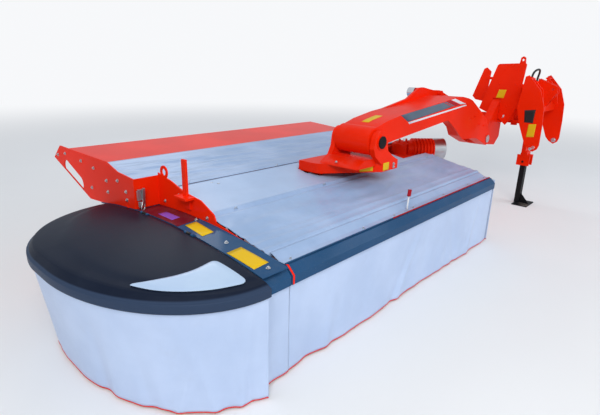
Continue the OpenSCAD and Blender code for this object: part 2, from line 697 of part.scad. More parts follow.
// Curved sheet over the rotor between its two cheek plates
cheek_out_x = rotor_out + 8;
cheek_in_x = rotor_in - 8 - plate_t;
hood_r = finger_r + 14;
bearing_r = 30 + pin_gap;
module conditioner_hood() {
    cheek = [[beam_rear_y, beam_low - 5], [beam_rear_y, 660], [-1042, 660], [-1062, 745], [-1400, 745], [-1565, 640],
             [-1580, 420], [-1400, 130], [-1080, skid_t], [disc_y - case_d / 2, skid_t],
             [disc_y - case_d / 2, case_top - 6], [-985, case_top - 6], [-985, 330]];
    color(red) difference() {
        union() {
            for (x = [cheek_in_x, cheek_out_x]) across(x, x + plate_t, cheek);
            bar_across(cheek_out_x, cheek_out_x + 26, rotor_y, rotor_z, 62);
            translate([cheek_in_x, rotor_y, rotor_z]) rotate([90, 0, 90])
                linear_extrude(cheek_out_x - cheek_in_x + 1) intersection() {
                    difference() {
                        circle(r = hood_r + sheet_t, $fn = 128);
                        circle(r = hood_r, $fn = 128);
                    }
                    polygon([[0, 0], [420, 300], [420, 420], [-420, 420], [-420, -10]]);
                }
            block([cheek_in_x, -1040, tie_z - sheet_t], [cheek_out_x + 1, beam_rear_y, tie_z]);
        }
        for (x = [cheek_in_x, cheek_out_x]) bar_across(x - 1, x + plate_t + 30, rotor_y, rotor_z, bearing_r);
    }
}

// Gear case from the gearbox down to the rotor's inner end
module drive_case() {
    case_x = [inner_x + 2, cheek_in_x];
    color(red) difference() {
        union() {
            across(case_x[0], case_x[1], [[rotor_y - 92, rotor_z], [rotor_y + 70, rotor_z - 60], [-980, 600],
                                          [-1040, 600], [-1130, 610]]);
            bar_across(case_x[0], case_x[1], rotor_y, rotor_z, 92);
        }
        bar_across(cheek_in_x - 60, cheek_in_x + 1, rotor_y, rotor_z, bearing_r);
    }
}

// Angle gearbox at the beam's inner end, with its ribbed input housing
gear_x = -2760;
gear_y = -960;
gear_z = 760;
gear_turn = 139;
housing_r = 88;
rib_r = 108;
dome_r = 84;
module on_input() {
    translate([gear_x, gear_y, gear_z]) rotate([0, 0, gear_turn]) children();
}
module gearbox() {
    color(red) {
        block([inner_x + 2, beam_rear_y, 600], [beam_in, beam_front_y, beam_top]);
        block([inner_x + 2, -1040, 600], [cheek_in_x - 2, beam_rear_y + 1, beam_top]);
        intersection() {
            translate([gear_x, gear_y, beam_top - 1]) cylinder(h = 140, r = dome_r, $fn = 96);
            translate([gear_x, gear_y, gear_z - 40]) sphere(r = 130, $fn = 96);
        }
        for (turn = [20, 100]) translate([gear_x, gear_y, gear_z]) rotate([0, 0, turn])
            translate([dome_r - 26, 0, 0]) cylinder(h = 110, r = 10, $fn = 32);
        on_input() difference() {
            union() {
                bar_across(60, 330, 0, 0, housing_r);
                for (i = [0 : 5]) bar_across(120 + i * 34, 136 + i * 34, 0, 0, rib_r);
                bar_across(318, 330, 0, 0, rib_r);
            }
            bar_across(298, 331, 0, 0, shaft_r + pin_gap);
        }
    }
}
module pto_guard() {
    color(steel) on_input() difference() {
        bar_across(330, 450, 0, 0, rib_r);
        bar_across(329, 451, 0, 0, rib_r - 5);
    }
}
module input_shaft() {
    color(steel) on_input() {
        bar_across(300, 470, 0, 0, shaft_r);
        bar_across(336, 352, 0, 0, 42);
    }
}

// Front bumper of folded sheet, with the arms to its hinge tube
guard_arm_x = [-420, -1100, -1860, -2660];
module front_bumper() {
    bevel = 42;
    low = guard_top - bumper_h;
    sheet = [[0, low], [0, guard_top - bevel], [-bevel, guard_top], [-bumper_d, guard_top],
             [-bumper_d, guard_top - bumper_t], [-bevel - 4, guard_top - bumper_t],
             [-bumper_t, guard_top - bevel - 4], [-bumper_t, low]];
    arm = [[-60, guard_top - bumper_t - 26], [-60, guard_top - bumper_t + 1], [-bumper_d, guard_top - bumper_t + 1],
           [hinge_y, hinge_z + 20], [hinge_y, hinge_z - 24]];
    color(dark_grey) across(bumper_in, bumper_out, sheet);
    color(red) for (x = guard_arm_x) difference() {
        union() {
            across(x - 15, x + 15, arm);
            bar_across(x - 15, x + 15, hinge_y, hinge_z, hinge_tube_r + 9);
        }
        bar_across(x - 16, x + 16, hinge_y, hinge_z, hinge_tube_r + pin_gap);
    }
}
module front_flap() {
    color(cloth_grey) across(bumper_in + 4, bumper_out - 4,
        [[-bumper_d - seat_gap, guard_top + 2], [hinge_y + 30, guard_top + 34],
         [hinge_y + 30, guard_top + 34 - cloth_t], [-bumper_d - seat_gap, guard_top + 2 - cloth_t]]);
}
module front_curtain() {
    color(cloth_grey) block([bumper_in, -bumper_t - cloth_t, hem_gap], [bumper_out, -bumper_t, guard_top - 58]);
}

// Moulded cover: a domed top over a D-shaped outline with a stepped lip
lip_low = 562;
cover_mid_y = [-930, -800];
cover_front_run = far_front - cover_mid_y[1];
cover_rear_run = 655;
arc_steps = 24;
notch_x = cover_hinge_x + knuckle_r + 4;
module cover_outline(inset, x_from) {
    reach = cover_reach - inset;
    polygon(concat(
        [[x_from, cover_mid_y[1] + cover_front_run - inset]],
        [for (i = [1 : arc_steps]) let (a = 90 * i / arc_steps)
            [cover_x + reach * sin(a), cover_mid_y[1] + (cover_front_run - inset) * cos(a)]],
        [for (i = [0 : arc_steps - 1]) let (a = 90 * i / arc_steps)
            [cover_x + reach * cos(a), cover_mid_y[0] - (cover_rear_run - inset) * sin(a)]],
        [[x_from, cover_mid_y[0] - cover_rear_run + inset]]));
}
module cover_dome(drop) {
    translate([cover_x, arch_y, arch_top - arch_r]) sphere(r = arch_r - drop, $fn = 720);
}
module outer_cover() {
    color(dark_grey) difference() {
        union() {
            translate([0, 0, lip_low]) linear_extrude(lip_h) cover_outline(0, cover_x);
            intersection() {
                translate([0, 0, lip_low]) linear_extrude(200) cover_outline(lip_step, cover_x);
                cover_dome(0);
            }
        }
        translate([0, 0, lip_low - 1]) linear_extrude(lip_h + 1 - cover_t) cover_outline(cover_t, cover_x - 1);
        intersection() {
            translate([0, 0, lip_low - 1]) linear_extrude(200) cover_outline(lip_step + cover_t, cover_x - 1);
            cover_dome(cover_t);
        }
        for (y = cover_hinge_y)
            block([cover_x - 1, y - 2 * knuckle_half - 3, 660], [notch_x, y + 2 * knuckle_half + 3, 720]);
    }
    color(dark_grey) for (y = cover_hinge_y) difference() {
        union() {
            bar_along(y - knuckle_half, y + knuckle_half, cover_hinge_x, cover_hinge_z, knuckle_r);
            block([cover_hinge_x, y - knuckle_half, cover_hinge_z - 8],
                  [notch_x + 4, y + knuckle_half, cover_hinge_z - 2]);
        }
        bar_along(y - 2 * knuckle_half, y + 2 * knuckle_half, cover_hinge_x, cover_hinge_z, knuckle_pin_r + pin_gap);
    }
}

// Light panel let into the cover's front
insert_t = 3;
module cover_insert() {
    color(cloth_grey) intersection() {
        translate([0, 0, 600]) linear_extrude(120)
            polygon([[497, -295], [120, -211], [131, -1], [272, -60], [360, -118], [436, -200]]);
        difference() {
            cover_dome(-insert_t);
            cover_dome(0);
        }
    }
}
module outer_curtain() {
    inset = cover_t + seat_gap;
    color(cloth_grey) translate([0, 0, hem_gap]) linear_extrude(lip_low + 24 - hem_gap) difference() {
        cover_outline(inset, cover_x + 4);
        cover_outline(inset + cloth_t, cover_x - 4);
    }
}

// Swath doors behind the rotor, hung on upright pins and bent inward
door_low = 260;
door_len = 520;
door_turn = 8;
module swath_door(x, side) {
    color(red) translate([x, door_y, 0]) rotate([0, 0, side * door_turn]) {
        block([-3, -door_len, door_low], [3, 0, 800]);
        translate([0, 0, door_low]) cylinder(h = door_pin_top - door_low, r = door_pin_r, $fn = 48);
    }
}

module placed() translate([-origin_x, -origin_y, 0]) children();

placed() headstock_frame();
placed() feed_hose();
placed() hitch_pins();
placed() parking_stand();
placed() turret();
placed() turret_covers();
placed() lift_barrel();
placed() lift_rod();
placed() arm_beam();
placed() arm_pins();
placed() pivot_bracket();
placed() pivot_pin();
placed() main_beam();
placed() canvas_frame();
placed() inner_side_plate();
placed() outer_side_plate();
placed() end_strip();
placed() rear_hood();
placed() front_canvas();
placed() mid_canvas();
placed() rear_canvas();
placed() end_curtains();
placed() height_lever();
placed() cutterbar();
placed() skids();
placed() conditioner_hood();
placed() drive_case();
placed() gearbox();
placed() pto_guard();
placed() input_shaft();
for (i = [0 : disc_count - 1])
    placed() cutting_disc(i);
placed() conditioner_rotor();
placed() front_bumper();
placed() front_flap();
placed() front_curtain();
placed() outer_cover();
placed() cover_insert();
placed() outer_curtain();
placed() swath_door(door_out_x, -1);  // swath_door_outer
placed() swath_door(door_in_x, 1);  // swath_door_inner
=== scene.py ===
# %% [markdown]
# # A disc mower conditioner, dressed for the studio
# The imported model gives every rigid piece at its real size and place. This lesson adds what makes it look
# like the real machine: rounded sheet-metal edges, paint, cloth guards with folds, a moulded cover, bolts,
# stickers and a hose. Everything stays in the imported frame, in metres, so that a piece made here always fits
# the solid it belongs to.

# %% Load the frame
import json
import math

import bmesh
import bpy
from mathutils import Matrix, Vector, noise
from mathutils.bvhtree import BVHTree

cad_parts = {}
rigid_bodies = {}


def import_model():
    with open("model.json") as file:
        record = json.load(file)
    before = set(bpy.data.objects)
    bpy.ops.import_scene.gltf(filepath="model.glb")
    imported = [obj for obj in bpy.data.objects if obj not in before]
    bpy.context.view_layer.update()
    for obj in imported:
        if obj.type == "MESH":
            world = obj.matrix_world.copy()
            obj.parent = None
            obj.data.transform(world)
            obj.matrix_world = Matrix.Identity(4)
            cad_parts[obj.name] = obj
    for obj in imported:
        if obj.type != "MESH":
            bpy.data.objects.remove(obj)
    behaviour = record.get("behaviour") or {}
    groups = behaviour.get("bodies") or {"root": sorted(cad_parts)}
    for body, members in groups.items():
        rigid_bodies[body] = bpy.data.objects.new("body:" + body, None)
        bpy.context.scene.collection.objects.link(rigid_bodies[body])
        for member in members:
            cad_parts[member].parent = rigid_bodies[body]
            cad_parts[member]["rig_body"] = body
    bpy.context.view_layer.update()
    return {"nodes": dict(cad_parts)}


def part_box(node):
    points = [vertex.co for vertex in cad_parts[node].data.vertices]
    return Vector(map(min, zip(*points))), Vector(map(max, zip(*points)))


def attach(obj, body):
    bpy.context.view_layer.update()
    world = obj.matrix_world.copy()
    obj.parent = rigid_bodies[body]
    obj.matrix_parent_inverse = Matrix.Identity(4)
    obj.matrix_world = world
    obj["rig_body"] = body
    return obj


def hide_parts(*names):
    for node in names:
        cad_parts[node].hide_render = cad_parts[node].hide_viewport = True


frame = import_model()

# %% [markdown]
# The machine was drawn from the outer corner of its front bumper, in millimetres: x runs outward along the
# bumper, y runs forward from its face and z up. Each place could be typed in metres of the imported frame, but
# one helper reads better. It turns a drawing point into the frame with the bumper's own box, so nothing slips
# if the machine is centred anew.

# %% Places on the machine
BUMPER_OUT_X = -172
bumper_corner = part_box("front_bumper")[1]
SHIFT = Vector((bumper_corner.x - BUMPER_OUT_X / 1000, bumper_corner.y, 0))


def at(x, y, z):
    """A point given in millimetres from the bumper's outer front corner."""
    return Vector((x, y, z)) / 1000 + SHIFT


print("corner of the bumper sits at", [round(v, 4) for v in at(BUMPER_OUT_X, 0, 0)])

# %% [markdown]
# The photograph was taken at eye level ahead of the outer front corner, back along the machine, with a fairly
# wide lens. A camera could track a target, but a fit to a photograph gives a heading, a dip and a slight
# roll, so the camera is turned by those three angles.

# %% Camera
CAMERA_PLACE = (1270, 1355, 1559)
CAMERA_LENS = 26.75
CAMERA_HEADING = -137.60
CAMERA_DIP = 17.81
CAMERA_ROLL = 1.42
camera_data = bpy.data.cameras.new("photo_camera")
camera_data.sensor_width = 36
camera_data.lens = CAMERA_LENS
camera_data.clip_end = 100
camera = bpy.data.objects.new("photo_camera", camera_data)
bpy.context.scene.collection.objects.link(camera)
heading = math.radians(CAMERA_HEADING)
dip = math.radians(CAMERA_DIP)
look = Vector((math.cos(heading) * math.cos(dip), math.sin(heading) * math.cos(dip), -math.sin(dip)))
turned = look.to_track_quat("-Z", "Y").to_matrix().to_4x4()
camera.matrix_world = (Matrix.Translation(at(*CAMERA_PLACE)) @ turned
                       @ Matrix.Rotation(math.radians(CAMERA_ROLL), 4, "Z"))
bpy.context.scene.camera = camera
bpy.context.scene.view_settings.view_transform = "Standard"
print("camera at", [round(v, 3) for v in camera.matrix_world.translation])

# %% [markdown]
# Wear and weave are sums and products of noise. The nodes could be linked one by one, but that takes a page
# for each material. This small class wraps one output of a node and overloads the operators, so that
# `1 - mask` or `grime * 0.3 + 0.2` builds the Math nodes by itself.

# %% Shader sockets as numbers


class Shade:
    """One output of a node, used like a number."""

    def __init__(self, tree, socket):
        self.tree = tree
        self.socket = socket

    def maths(self, operation, *values):
        return add_node(self.tree, "ShaderNodeMath", dict(enumerate(values)), operation=operation)

    def __add__(self, other):
        return self.maths("ADD", self, other)

    def __sub__(self, other):
        return self.maths("SUBTRACT", self, other)

    def __rsub__(self, other):
        return self.maths("SUBTRACT", other, self)

    def __mul__(self, other):
        return self.maths("MULTIPLY", self, other)

    __radd__ = __add__
    __rmul__ = __mul__

    def sine(self):
        return self.maths("SINE", self)

    def over(self, other):
        return self.maths("MAXIMUM", self, other)


def connect(tree, value, slot):
    """Links a Shade to an input, or writes a plain value into it."""
    if isinstance(value, Shade):
        tree.links.new(value.socket, slot)
    else:
        slot.default_value = value


def add_node(tree, kind, inputs=None, output=0, **settings):
    """Adds a node of a kind, sets its settings first and then its inputs, and returns one output."""
    node = tree.nodes.new(kind)
    for name, value in settings.items():
        setattr(node, name, value)
    for name, value in (inputs or {}).items():
        connect(tree, value, node.inputs[name])
    return Shade(tree, node.outputs[output])


print("shader sockets add, subtract and multiply")

# %% [markdown]
# A finish is one principled shader and the nodes that feed it. Most of them come in the same few shapes:
# noise at some scale, a soft step that turns noise into patches, a colour mixed from two. Each shape gets a
# short method, so that a recipe below reads like a list of what happened to the surface.

# %% Finishes


class Finish:
    """A material under construction: its nodes, its shader and a way to add any other node."""

    def __init__(self, name, **constants):
        self.material = bpy.data.materials.new(name)
        self.material.use_nodes = True
        self.tree = self.material.node_tree
        self.shader = self.tree.nodes["Principled BSDF"]
        for socket, value in constants.items():
            self.shader.inputs[socket.replace("_", " ")].default_value = value
        self.place = self.node("ShaderNodeTexCoord", output="Object")

    def node(self, kind, inputs=None, output=0, **settings):
        return add_node(self.tree, kind, inputs, output, **settings)

    def noise(self, scale, detail=3.0, roughness=0.55, vector=None):
        inputs = {"Vector": vector or self.place, "Scale": scale, "Detail": detail, "Roughness": roughness}
        return self.node("ShaderNodeTexNoise", inputs)

    def stretched(self, x, y, z):
        return self.node("ShaderNodeMapping", {"Vector": self.place, "Scale": (x, y, z)})

    def axis(self, letter, vector=None):
        """One of the three numbers of a vector, by default of the place on the piece."""
        return self.node("ShaderNodeSeparateXYZ", {"Vector": vector or self.place}, letter)

    def upward(self):
        """How far a surface faces the sky, from 0 to 1."""
        return self.axis("Z", self.node("ShaderNodeNewGeometry", output="Normal"))

    def ramp(self, value, low, high):
        """0 below low and 1 above high, with a soft step between."""
        inputs = {"Value": value, "From Min": low, "From Max": high}
        return self.node("ShaderNodeMapRange", inputs, interpolation_type="SMOOTHSTEP")

    def mix(self, share, low, high):
        """A colour between two colours, each a tuple or a socket. The node's colours sit at 6, 7 and 2."""
        low, high = ((*value, 1) if isinstance(value, tuple) else value for value in (low, high))
        return self.node("ShaderNodeMix", {0: share, 6: low, 7: high}, 2, data_type="RGBA")

    def feed(self, socket, value):
        self.tree.links.new(value.socket, self.shader.inputs[socket])

    def bump(self, height, distance, strength):
        inputs = {"Height": height, "Distance": distance, "Strength": strength}
        self.feed("Normal", self.node("ShaderNodeBump", inputs))


print("finish helpers ready")

# %% [markdown]
# Farm paint is thick, glossy and slightly uneven. One flat red would look like plastic. So the base carries a
# little drift in tone, dust settles on faces that look up, and fine scratches break the gloss. A coat over it
# gives the wet highlight, and where dust lies the coat goes.

# %% Paint
DUST_COLOUR = (0.42, 0.37, 0.31)
SPECK_COLOUR = (0.5, 0.46, 0.4)


def paint(name, colour, dusty=0.08, coat=0.10, rough=0.34, sheen=0.03):
    """Farm paint. Dusty is how much dust can lie on it, sheen its own gloss under the coat."""
    finish = Finish(name, Coat_Roughness=0.10, IOR=1.45, Specular_IOR_Level=sheen)
    darker = tuple(c * 0.86 for c in colour)
    tone = finish.mix(finish.ramp(finish.noise(1.7, 2.0), 0.35, 0.7), darker, colour)
    specks = finish.ramp(finish.noise(210, 2.0), 0.66, 0.72)
    dust = finish.ramp(finish.upward(), 0.3, 1.0) * finish.ramp(finish.noise(9, 5.0, 0.7), 0.42, 0.75) * dusty
    tone = finish.mix(dust, tone, DUST_COLOUR)
    finish.feed("Base Color", finish.mix(specks * 0.10, tone, SPECK_COLOUR))
    scratches = finish.ramp(finish.noise(26, 6.0, 0.7, finish.stretched(1.0, 6.0, 3.0)), 0.55, 0.75)
    finish.feed("Roughness", dust * 0.7 + scratches * 0.10 + rough)
    finish.feed("Coat Weight", (1 - dust) * coat)
    finish.bump(finish.noise(95, 2.0), 0.0004, 0.35)
    return finish.material


RED = (0.93, 0.022, 0.002)
red_paint = paint("red_paint", RED)
red_sheet = paint("red_sheet", RED, dusty=0.03, coat=0.16, rough=0.28, sheen=0.08)
dark_paint = paint("dark_paint", (0.018, 0.076, 0.180), dusty=0.04, coat=0.18, rough=0.30)
# This maroon is a painted reflection of the red side plate in the end strip's dark paint.
red_reflection_paint = paint("red_reflection_paint", (0.16, 0.010, 0.020), dusty=0.08, coat=0.1, rough=0.32)
black_paint = paint("black_paint", (0.012, 0.012, 0.014), dusty=0.35, coat=0.1, rough=0.5)
yellow_film = paint("yellow_film", (0.80, 0.50, 0.01), dusty=0.06, coat=0.2, rough=0.35)
purple_film = paint("purple_film", (0.27, 0.09, 0.55), dusty=0.1, coat=0.2, rough=0.35)
white_film = paint("white_film", (0.78, 0.80, 0.84), dusty=0.05, coat=0.2, rough=0.35)
slate_film = paint("slate_film", (0.12, 0.16, 0.21), dusty=0.05, coat=0.2, rough=0.35)
crimson_film = paint("crimson_film", (0.42, 0.01, 0.02), dusty=0.05, coat=0.2, rough=0.35)
print("paints:", [m.name for m in bpy.data.materials if m.name.endswith(("paint", "film", "sheet"))])

# %% [markdown]
# The end cover is rotationally moulded plastic: nearly black, with a fine grain pressed in by the mould, a
# soft sheen and pale scuffs where hands and crops rub it. Its upright lip is a lighter blue-grey, which is a
# painted reflection. The grain could be modelled, but it is finer than any mesh, so a bump does it. The same
# recipe serves the light panel, the trim, the hose and the cords.

# %% Moulded plastic
# The lip's lighter blue-grey is a painted reflection.
LIP_REFLECTION_COLOUR = (0.032, 0.052, 0.098)
LIP_REFLECTION_STEP = 0.008


def plastic(name, colour, rough, grain_scale, scuff=0.3, sheen=0.4, lip=0):
    """Grained plastic. Below the height of a lip, in mm, a painted reflection makes it a lighter blue-grey."""
    finish = Finish(name, IOR=1.47, Specular_IOR_Level=sheen)
    cloudy = finish.ramp(finish.noise(3.2, 5.0, 0.65), 0.4, 0.75) * scuff
    lighter = tuple(min(1.0, c * 1.9 + 0.02) for c in colour)
    tone = finish.mix(cloudy, colour, lighter)
    # Below the lip's top the colour turns to a painted reflection.
    if lip:
        above = finish.ramp(finish.axis("Z"), lip / 1000, lip / 1000 + LIP_REFLECTION_STEP)
        tone = finish.mix(1 - above, tone, LIP_REFLECTION_COLOUR)
    finish.feed("Base Color", tone)
    finish.feed("Roughness", cloudy * 0.25 + rough)
    finish.bump(finish.noise(grain_scale, 3.0), 0.0006, 0.4)
    return finish.material


cover_plastic = plastic("cover_plastic", (0.008, 0.013, 0.028), 0.40, 420, 0.15, 0.07, 612)
trim_plastic = plastic("trim_plastic", (0.009, 0.010, 0.012), 0.5, 500, 0.2)
panel_plastic = plastic("panel_plastic", (0.42, 0.55, 0.74), 0.22, 40, 0.1)
hose_rubber = plastic("hose_rubber", (0.012, 0.012, 0.013), 0.42, 700, 0.2)
print("plastics ready")

# %% [markdown]
# Bare metal comes in three states here: bright zinc on pins and bolts, polished chrome on the lift rod and
# dull worn steel under the machine, darker and rougher where soil scours it. One recipe with a share of
# stains makes them all, because they differ only in tone, gloss and dirt.

# %% Metals
STAIN_COLOUR = (0.16, 0.09, 0.05)


def metal(name, colour, rough, stain):
    """Bare metal. Stain is how strongly soil and rust show in patches."""
    finish = Finish(name, Metallic=1.0)
    stains = finish.ramp(finish.noise(14, 6.0, 0.7), 0.45, 0.7) * stain
    finish.feed("Base Color", finish.mix(stains, colour, STAIN_COLOUR))
    brushed = finish.noise(60, 3.0, 0.6, finish.stretched(12.0, 1.0, 1.0))
    finish.feed("Roughness", stains * 0.4 + brushed * 0.12 + rough)
    finish.bump(brushed, 0.0002, 0.3)
    return finish.material


zinc = metal("zinc", (0.60, 0.62, 0.64), 0.30, 0.15)
chrome = metal("chrome", (0.80, 0.81, 0.83), 0.06, 0.03)
bright_steel = metal("bright_steel", (0.55, 0.55, 0.56), 0.26, 0.2)
worn_steel = metal("worn_steel", (0.24, 0.22, 0.20), 0.42, 0.7)
print("metals ready")

# %% [markdown]
# The guards are coated cloth: a woven core under smooth plastic. From near by the weave prints through as a
# faint square grain, which two crossed sine waves give more cheaply than a picture of cloth. The upper sheets
# are silver-grey and glossier, the curtains pale and softer.

# %% Coated cloth
THREADS = 1570.0
GRIME_COLOUR = (0.30, 0.28, 0.25)


def cloth(name, colour, shade, rough, dirt=0.06):
    """Coated cloth whose tone drifts between a colour and a shade of it."""
    finish = Finish(name, IOR=1.45, Sheen_Weight=0.05)
    weave = (finish.axis("X") * THREADS).sine() + ((finish.axis("Z") + finish.axis("Y")) * THREADS).sine()
    clouds = finish.ramp(finish.noise(2.2, 4.0, 0.6), 0.3, 0.75)
    grime = finish.ramp(finish.noise(7.5, 6.0, 0.7), 0.5, 0.8) * dirt
    finish.feed("Base Color", finish.mix(grime, finish.mix(clouds, shade, colour), GRIME_COLOUR))
    finish.feed("Roughness", grime * 0.3 + clouds * 0.06 + rough)
    finish.bump(weave * 0.12 + finish.noise(38, 3.0), 0.0009, 0.30)
    return finish.material


canvas_cloth = cloth("canvas_cloth", (0.38, 0.50, 0.72), (0.27, 0.39, 0.60), 0.34)
panel_cloth = cloth("panel_cloth", (0.43, 0.56, 0.78), (0.36, 0.48, 0.69), 0.34)
curtain_cloth = cloth("curtain_cloth", (0.53, 0.64, 0.86), (0.45, 0.56, 0.78), 0.40)
red_cord = plastic("red_cord", (0.75, 0.02, 0.012), 0.4, 300, 0.1)
print("cloths ready")

# %% [markdown]
# A soft pale world and three large lamps light the machine. If one world did it all, a backdrop bright enough
# for the camera would wash out the paint. So the camera sees a bright world, and the machine is lit by a
# gentler one, so that its colours come out as they are written.

# %% World and lamps
BACKDROP = (0.93, 0.94, 0.96)
WORLD_LIGHT = (0.86, 0.92, 1.0)
WORLD_STRENGTH = 0.62
GLOSSY_SHARE = 0.15
LAMPS = [
    # name, place, target, size, power, colour
    ("key_lamp", (5.5, 5.0, 5.6), (0.6, 0, 0.5), (4, 3), 330, (1.0, 0.97, 0.93)),
    ("fill_lamp", (-3.5, 5.5, 3.8), (-0.5, 0, 0.6), (5, 3), 95, (0.90, 0.95, 1.0)),
    ("rim_lamp", (-1.5, -5.5, 5.5), (0, 0, 0.8), (3, 2), 70, (0.95, 0.97, 1.0)),
]


def mix_shaders(tree, share, first, second, output):
    """Sends two shaders, mixed by a share, to an output node."""
    blend = tree.nodes.new("ShaderNodeMixShader")
    tree.links.new(share.socket, blend.inputs[0])
    tree.links.new(first.outputs[0], blend.inputs[1])
    tree.links.new(second.outputs[0], blend.inputs[2])
    tree.links.new(blend.outputs[0], output.inputs[0])


def pale_backdrop():
    world = bpy.data.worlds.new("studio_world")
    bpy.context.scene.world = world
    world.use_nodes = True
    tree = world.node_tree
    lit = tree.nodes["Background"]
    lit.inputs["Color"].default_value = (*WORLD_LIGHT, 1)
    lit.inputs["Strength"].default_value = WORLD_STRENGTH
    seen = tree.nodes.new("ShaderNodeBackground")
    seen.inputs["Color"].default_value = (*BACKDROP, 1)
    rays = tree.nodes.new("ShaderNodeLightPath")
    straight = Shade(tree, rays.outputs["Is Camera Ray"])
    direct = straight + Shade(tree, rays.outputs["Is Glossy Ray"]) * GLOSSY_SHARE
    through = Shade(tree, rays.outputs["Is Transmission Ray"])
    mix_shaders(tree, direct.over(through), lit, seen, tree.nodes["World Output"])


def lamp(name, place, target, size, power, colour):
    data = bpy.data.lights.new(name, "AREA")
    data.shape = "RECTANGLE"
    data.size = size[0]
    data.size_y = size[1]
    data.energy = power
    data.color = colour
    light = bpy.data.objects.new(name, data)
    aim = (Vector(target) - Vector(place)).to_track_quat("-Z", "Y")
    light.matrix_world = Matrix.Translation(Vector(place)) @ aim.to_matrix().to_4x4()
    bpy.context.scene.collection.objects.link(light)


pale_backdrop()
for row in LAMPS:
    lamp(*row)
print(len(LAMPS), "lamps placed")

# %% [markdown]
# The floor catches the machine's soft shadow. A small floor would show its edge, and a wide one a dark
# horizon. So it is very wide, and far out, for the camera alone, it fades into the backdrop.

# %% Floor
FLOOR_GREY = 0.86
FLOOR_SIZE = 90
FADE_FROM = 3.5
FADE_TO = 16.0
floor_mesh = bmesh.new()
bmesh.ops.create_grid(floor_mesh, x_segments=1, y_segments=1, size=FLOOR_SIZE)
floor_data = bpy.data.meshes.new("studio_floor")
floor_mesh.to_mesh(floor_data)
floor_mesh.free()
floor_object = bpy.data.objects.new("studio_floor", floor_data)
bpy.context.scene.collection.objects.link(floor_object)
floor_finish = Finish("floor_finish", Roughness=0.9)
floor_tone = floor_finish.mix(floor_finish.noise(1.1, 3.0), (FLOOR_GREY * 0.97,) * 3, (FLOOR_GREY,) * 3)
floor_finish.feed("Base Color", floor_tone)
floor_object.data.materials.append(floor_finish.material)

far_off = floor_finish.node("ShaderNodeVectorMath", {"Vector": floor_finish.place}, "Value",
                            operation="LENGTH")
eye_ray = floor_finish.node("ShaderNodeLightPath", output="Is Camera Ray")
glow = floor_finish.tree.nodes.new("ShaderNodeEmission")
glow.inputs["Color"].default_value = (*BACKDROP, 1)
faded = floor_finish.ramp(far_off, FADE_FROM, FADE_TO) * eye_ray
mix_shaders(floor_finish.tree, faded, floor_finish.shader, glow, floor_finish.tree.nodes["Material Output"])
print("floor ready, grey", FLOOR_GREY)

# %% [markdown]
# Every new piece is made in a bmesh and handed over once, with its material and its body.
# Folded sheet and welded plate never end in a knife edge. Such edges could be modelled by hand, but a Bevel
# modifier does it for every solid alike. It needs whole flat faces, so a copy of the solid's triangles is
# welded back into such faces first, and weighted normals then keep these faces flat.

# %% Piece helpers
EDGE_ANGLE = 32


def finished(name, mesh, body, material, recalculate=True):
    """Turns a bmesh into a piece of the machine that rides on a body."""
    if recalculate:
        bmesh.ops.recalc_face_normals(mesh, faces=mesh.faces)
    data = bpy.data.meshes.new(name)
    mesh.to_mesh(data)
    mesh.free()
    piece = bpy.data.objects.new(name, data)
    bpy.context.scene.collection.objects.link(piece)
    data.materials.append(material)
    for face in data.polygons:
        face.use_smooth = True
    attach(piece, body)
    return piece


def soft_edges(piece, width, segments=2):
    """Rounds the sharp edges, by a width in mm, and lets the large faces set the shading."""
    bevel = piece.modifiers.new("rounded edges", "BEVEL")
    bevel.width = width / 1000
    bevel.segments = segments
    bevel.limit_method = "ANGLE"
    bevel.angle_limit = math.radians(EDGE_ANGLE)
    weighted = piece.modifiers.new("flat faces stay flat", "WEIGHTED_NORMAL")
    weighted.mode = "FACE_AREA"
    weighted.weight = 80
    return piece


def rounded(node, material, width):
    """Stands for a CAD node with the same shape and rounded edges, by a width in mm."""
    source = frame["nodes"][node]
    mesh = bmesh.new()
    mesh.from_mesh(source.data)
    bmesh.ops.remove_doubles(mesh, verts=mesh.verts, dist=0.00005)
    bmesh.ops.dissolve_limit(mesh, angle_limit=math.radians(1.0), verts=mesh.verts, edges=mesh.edges)
    piece = finished(node + "_dressed", mesh, source["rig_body"], material, recalculate=False)
    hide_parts(node)
    return soft_edges(piece, width)


print("piece helpers ready")

# %% [markdown]
# The welded and folded solids are dressed one by one. Thick castings and the arm get wide radii, thin sheet
# gets narrow ones, because a bent sheet's radius is about its own thickness.

# %% Dressed solids
DRESSED = [
    # node, material, edge radius in mm
    ("headstock_frame", red_paint, 3.0), ("turret", red_paint, 3.0), ("turret_covers", red_paint, 3.0),
    ("lift_barrel", red_paint, 2.0), ("arm_beam", red_paint, 9.0), ("pivot_bracket", red_paint, 9.0),
    ("main_beam", red_paint, 6.0), ("inner_side_plate", red_paint, 1.5), ("outer_side_plate", red_paint, 2.0),
    ("rear_hood", red_sheet, 2.0), ("height_lever", red_paint, 2.0), ("conditioner_hood", red_paint, 1.5),
    ("drive_case", red_paint, 4.0), ("gearbox", red_paint, 3.0), ("canvas_frame", red_paint, 1.5),
    ("end_strip", dark_paint, 2.0), ("front_bumper", dark_paint, 2.0), ("parking_stand", black_paint, 2.0),
    ("cutterbar", black_paint, 4.0), ("swath_door_outer", red_paint, 1.0),
    ("swath_door_inner", red_paint, 1.0), ("pivot_pin", black_paint, 3.0), ("arm_pins", zinc, 3.0),
    ("hitch_pins", zinc, 2.0),
]
for row in DRESSED:
    rounded(*row)
print(len(DRESSED), "solids dressed")

# %% [markdown]
# Turned, cast and forged pieces have their true edges in the solid already. They could be copied too, but
# that would only add triangles, so they keep their own mesh and get a finish.

# %% Solids that keep their mesh
PLAIN = {"skids": worn_steel, "lift_rod": chrome, "pto_guard": zinc, "input_shaft": bright_steel,
         "conditioner_rotor": black_paint}
PLAIN.update({"disc_%d" % number: red_paint for number in range(1, 8)})
for node, material in PLAIN.items():
    mesh_data = frame["nodes"][node].data
    mesh_data.materials.clear()
    mesh_data.materials.append(material)
print(len(PLAIN), "solids painted")

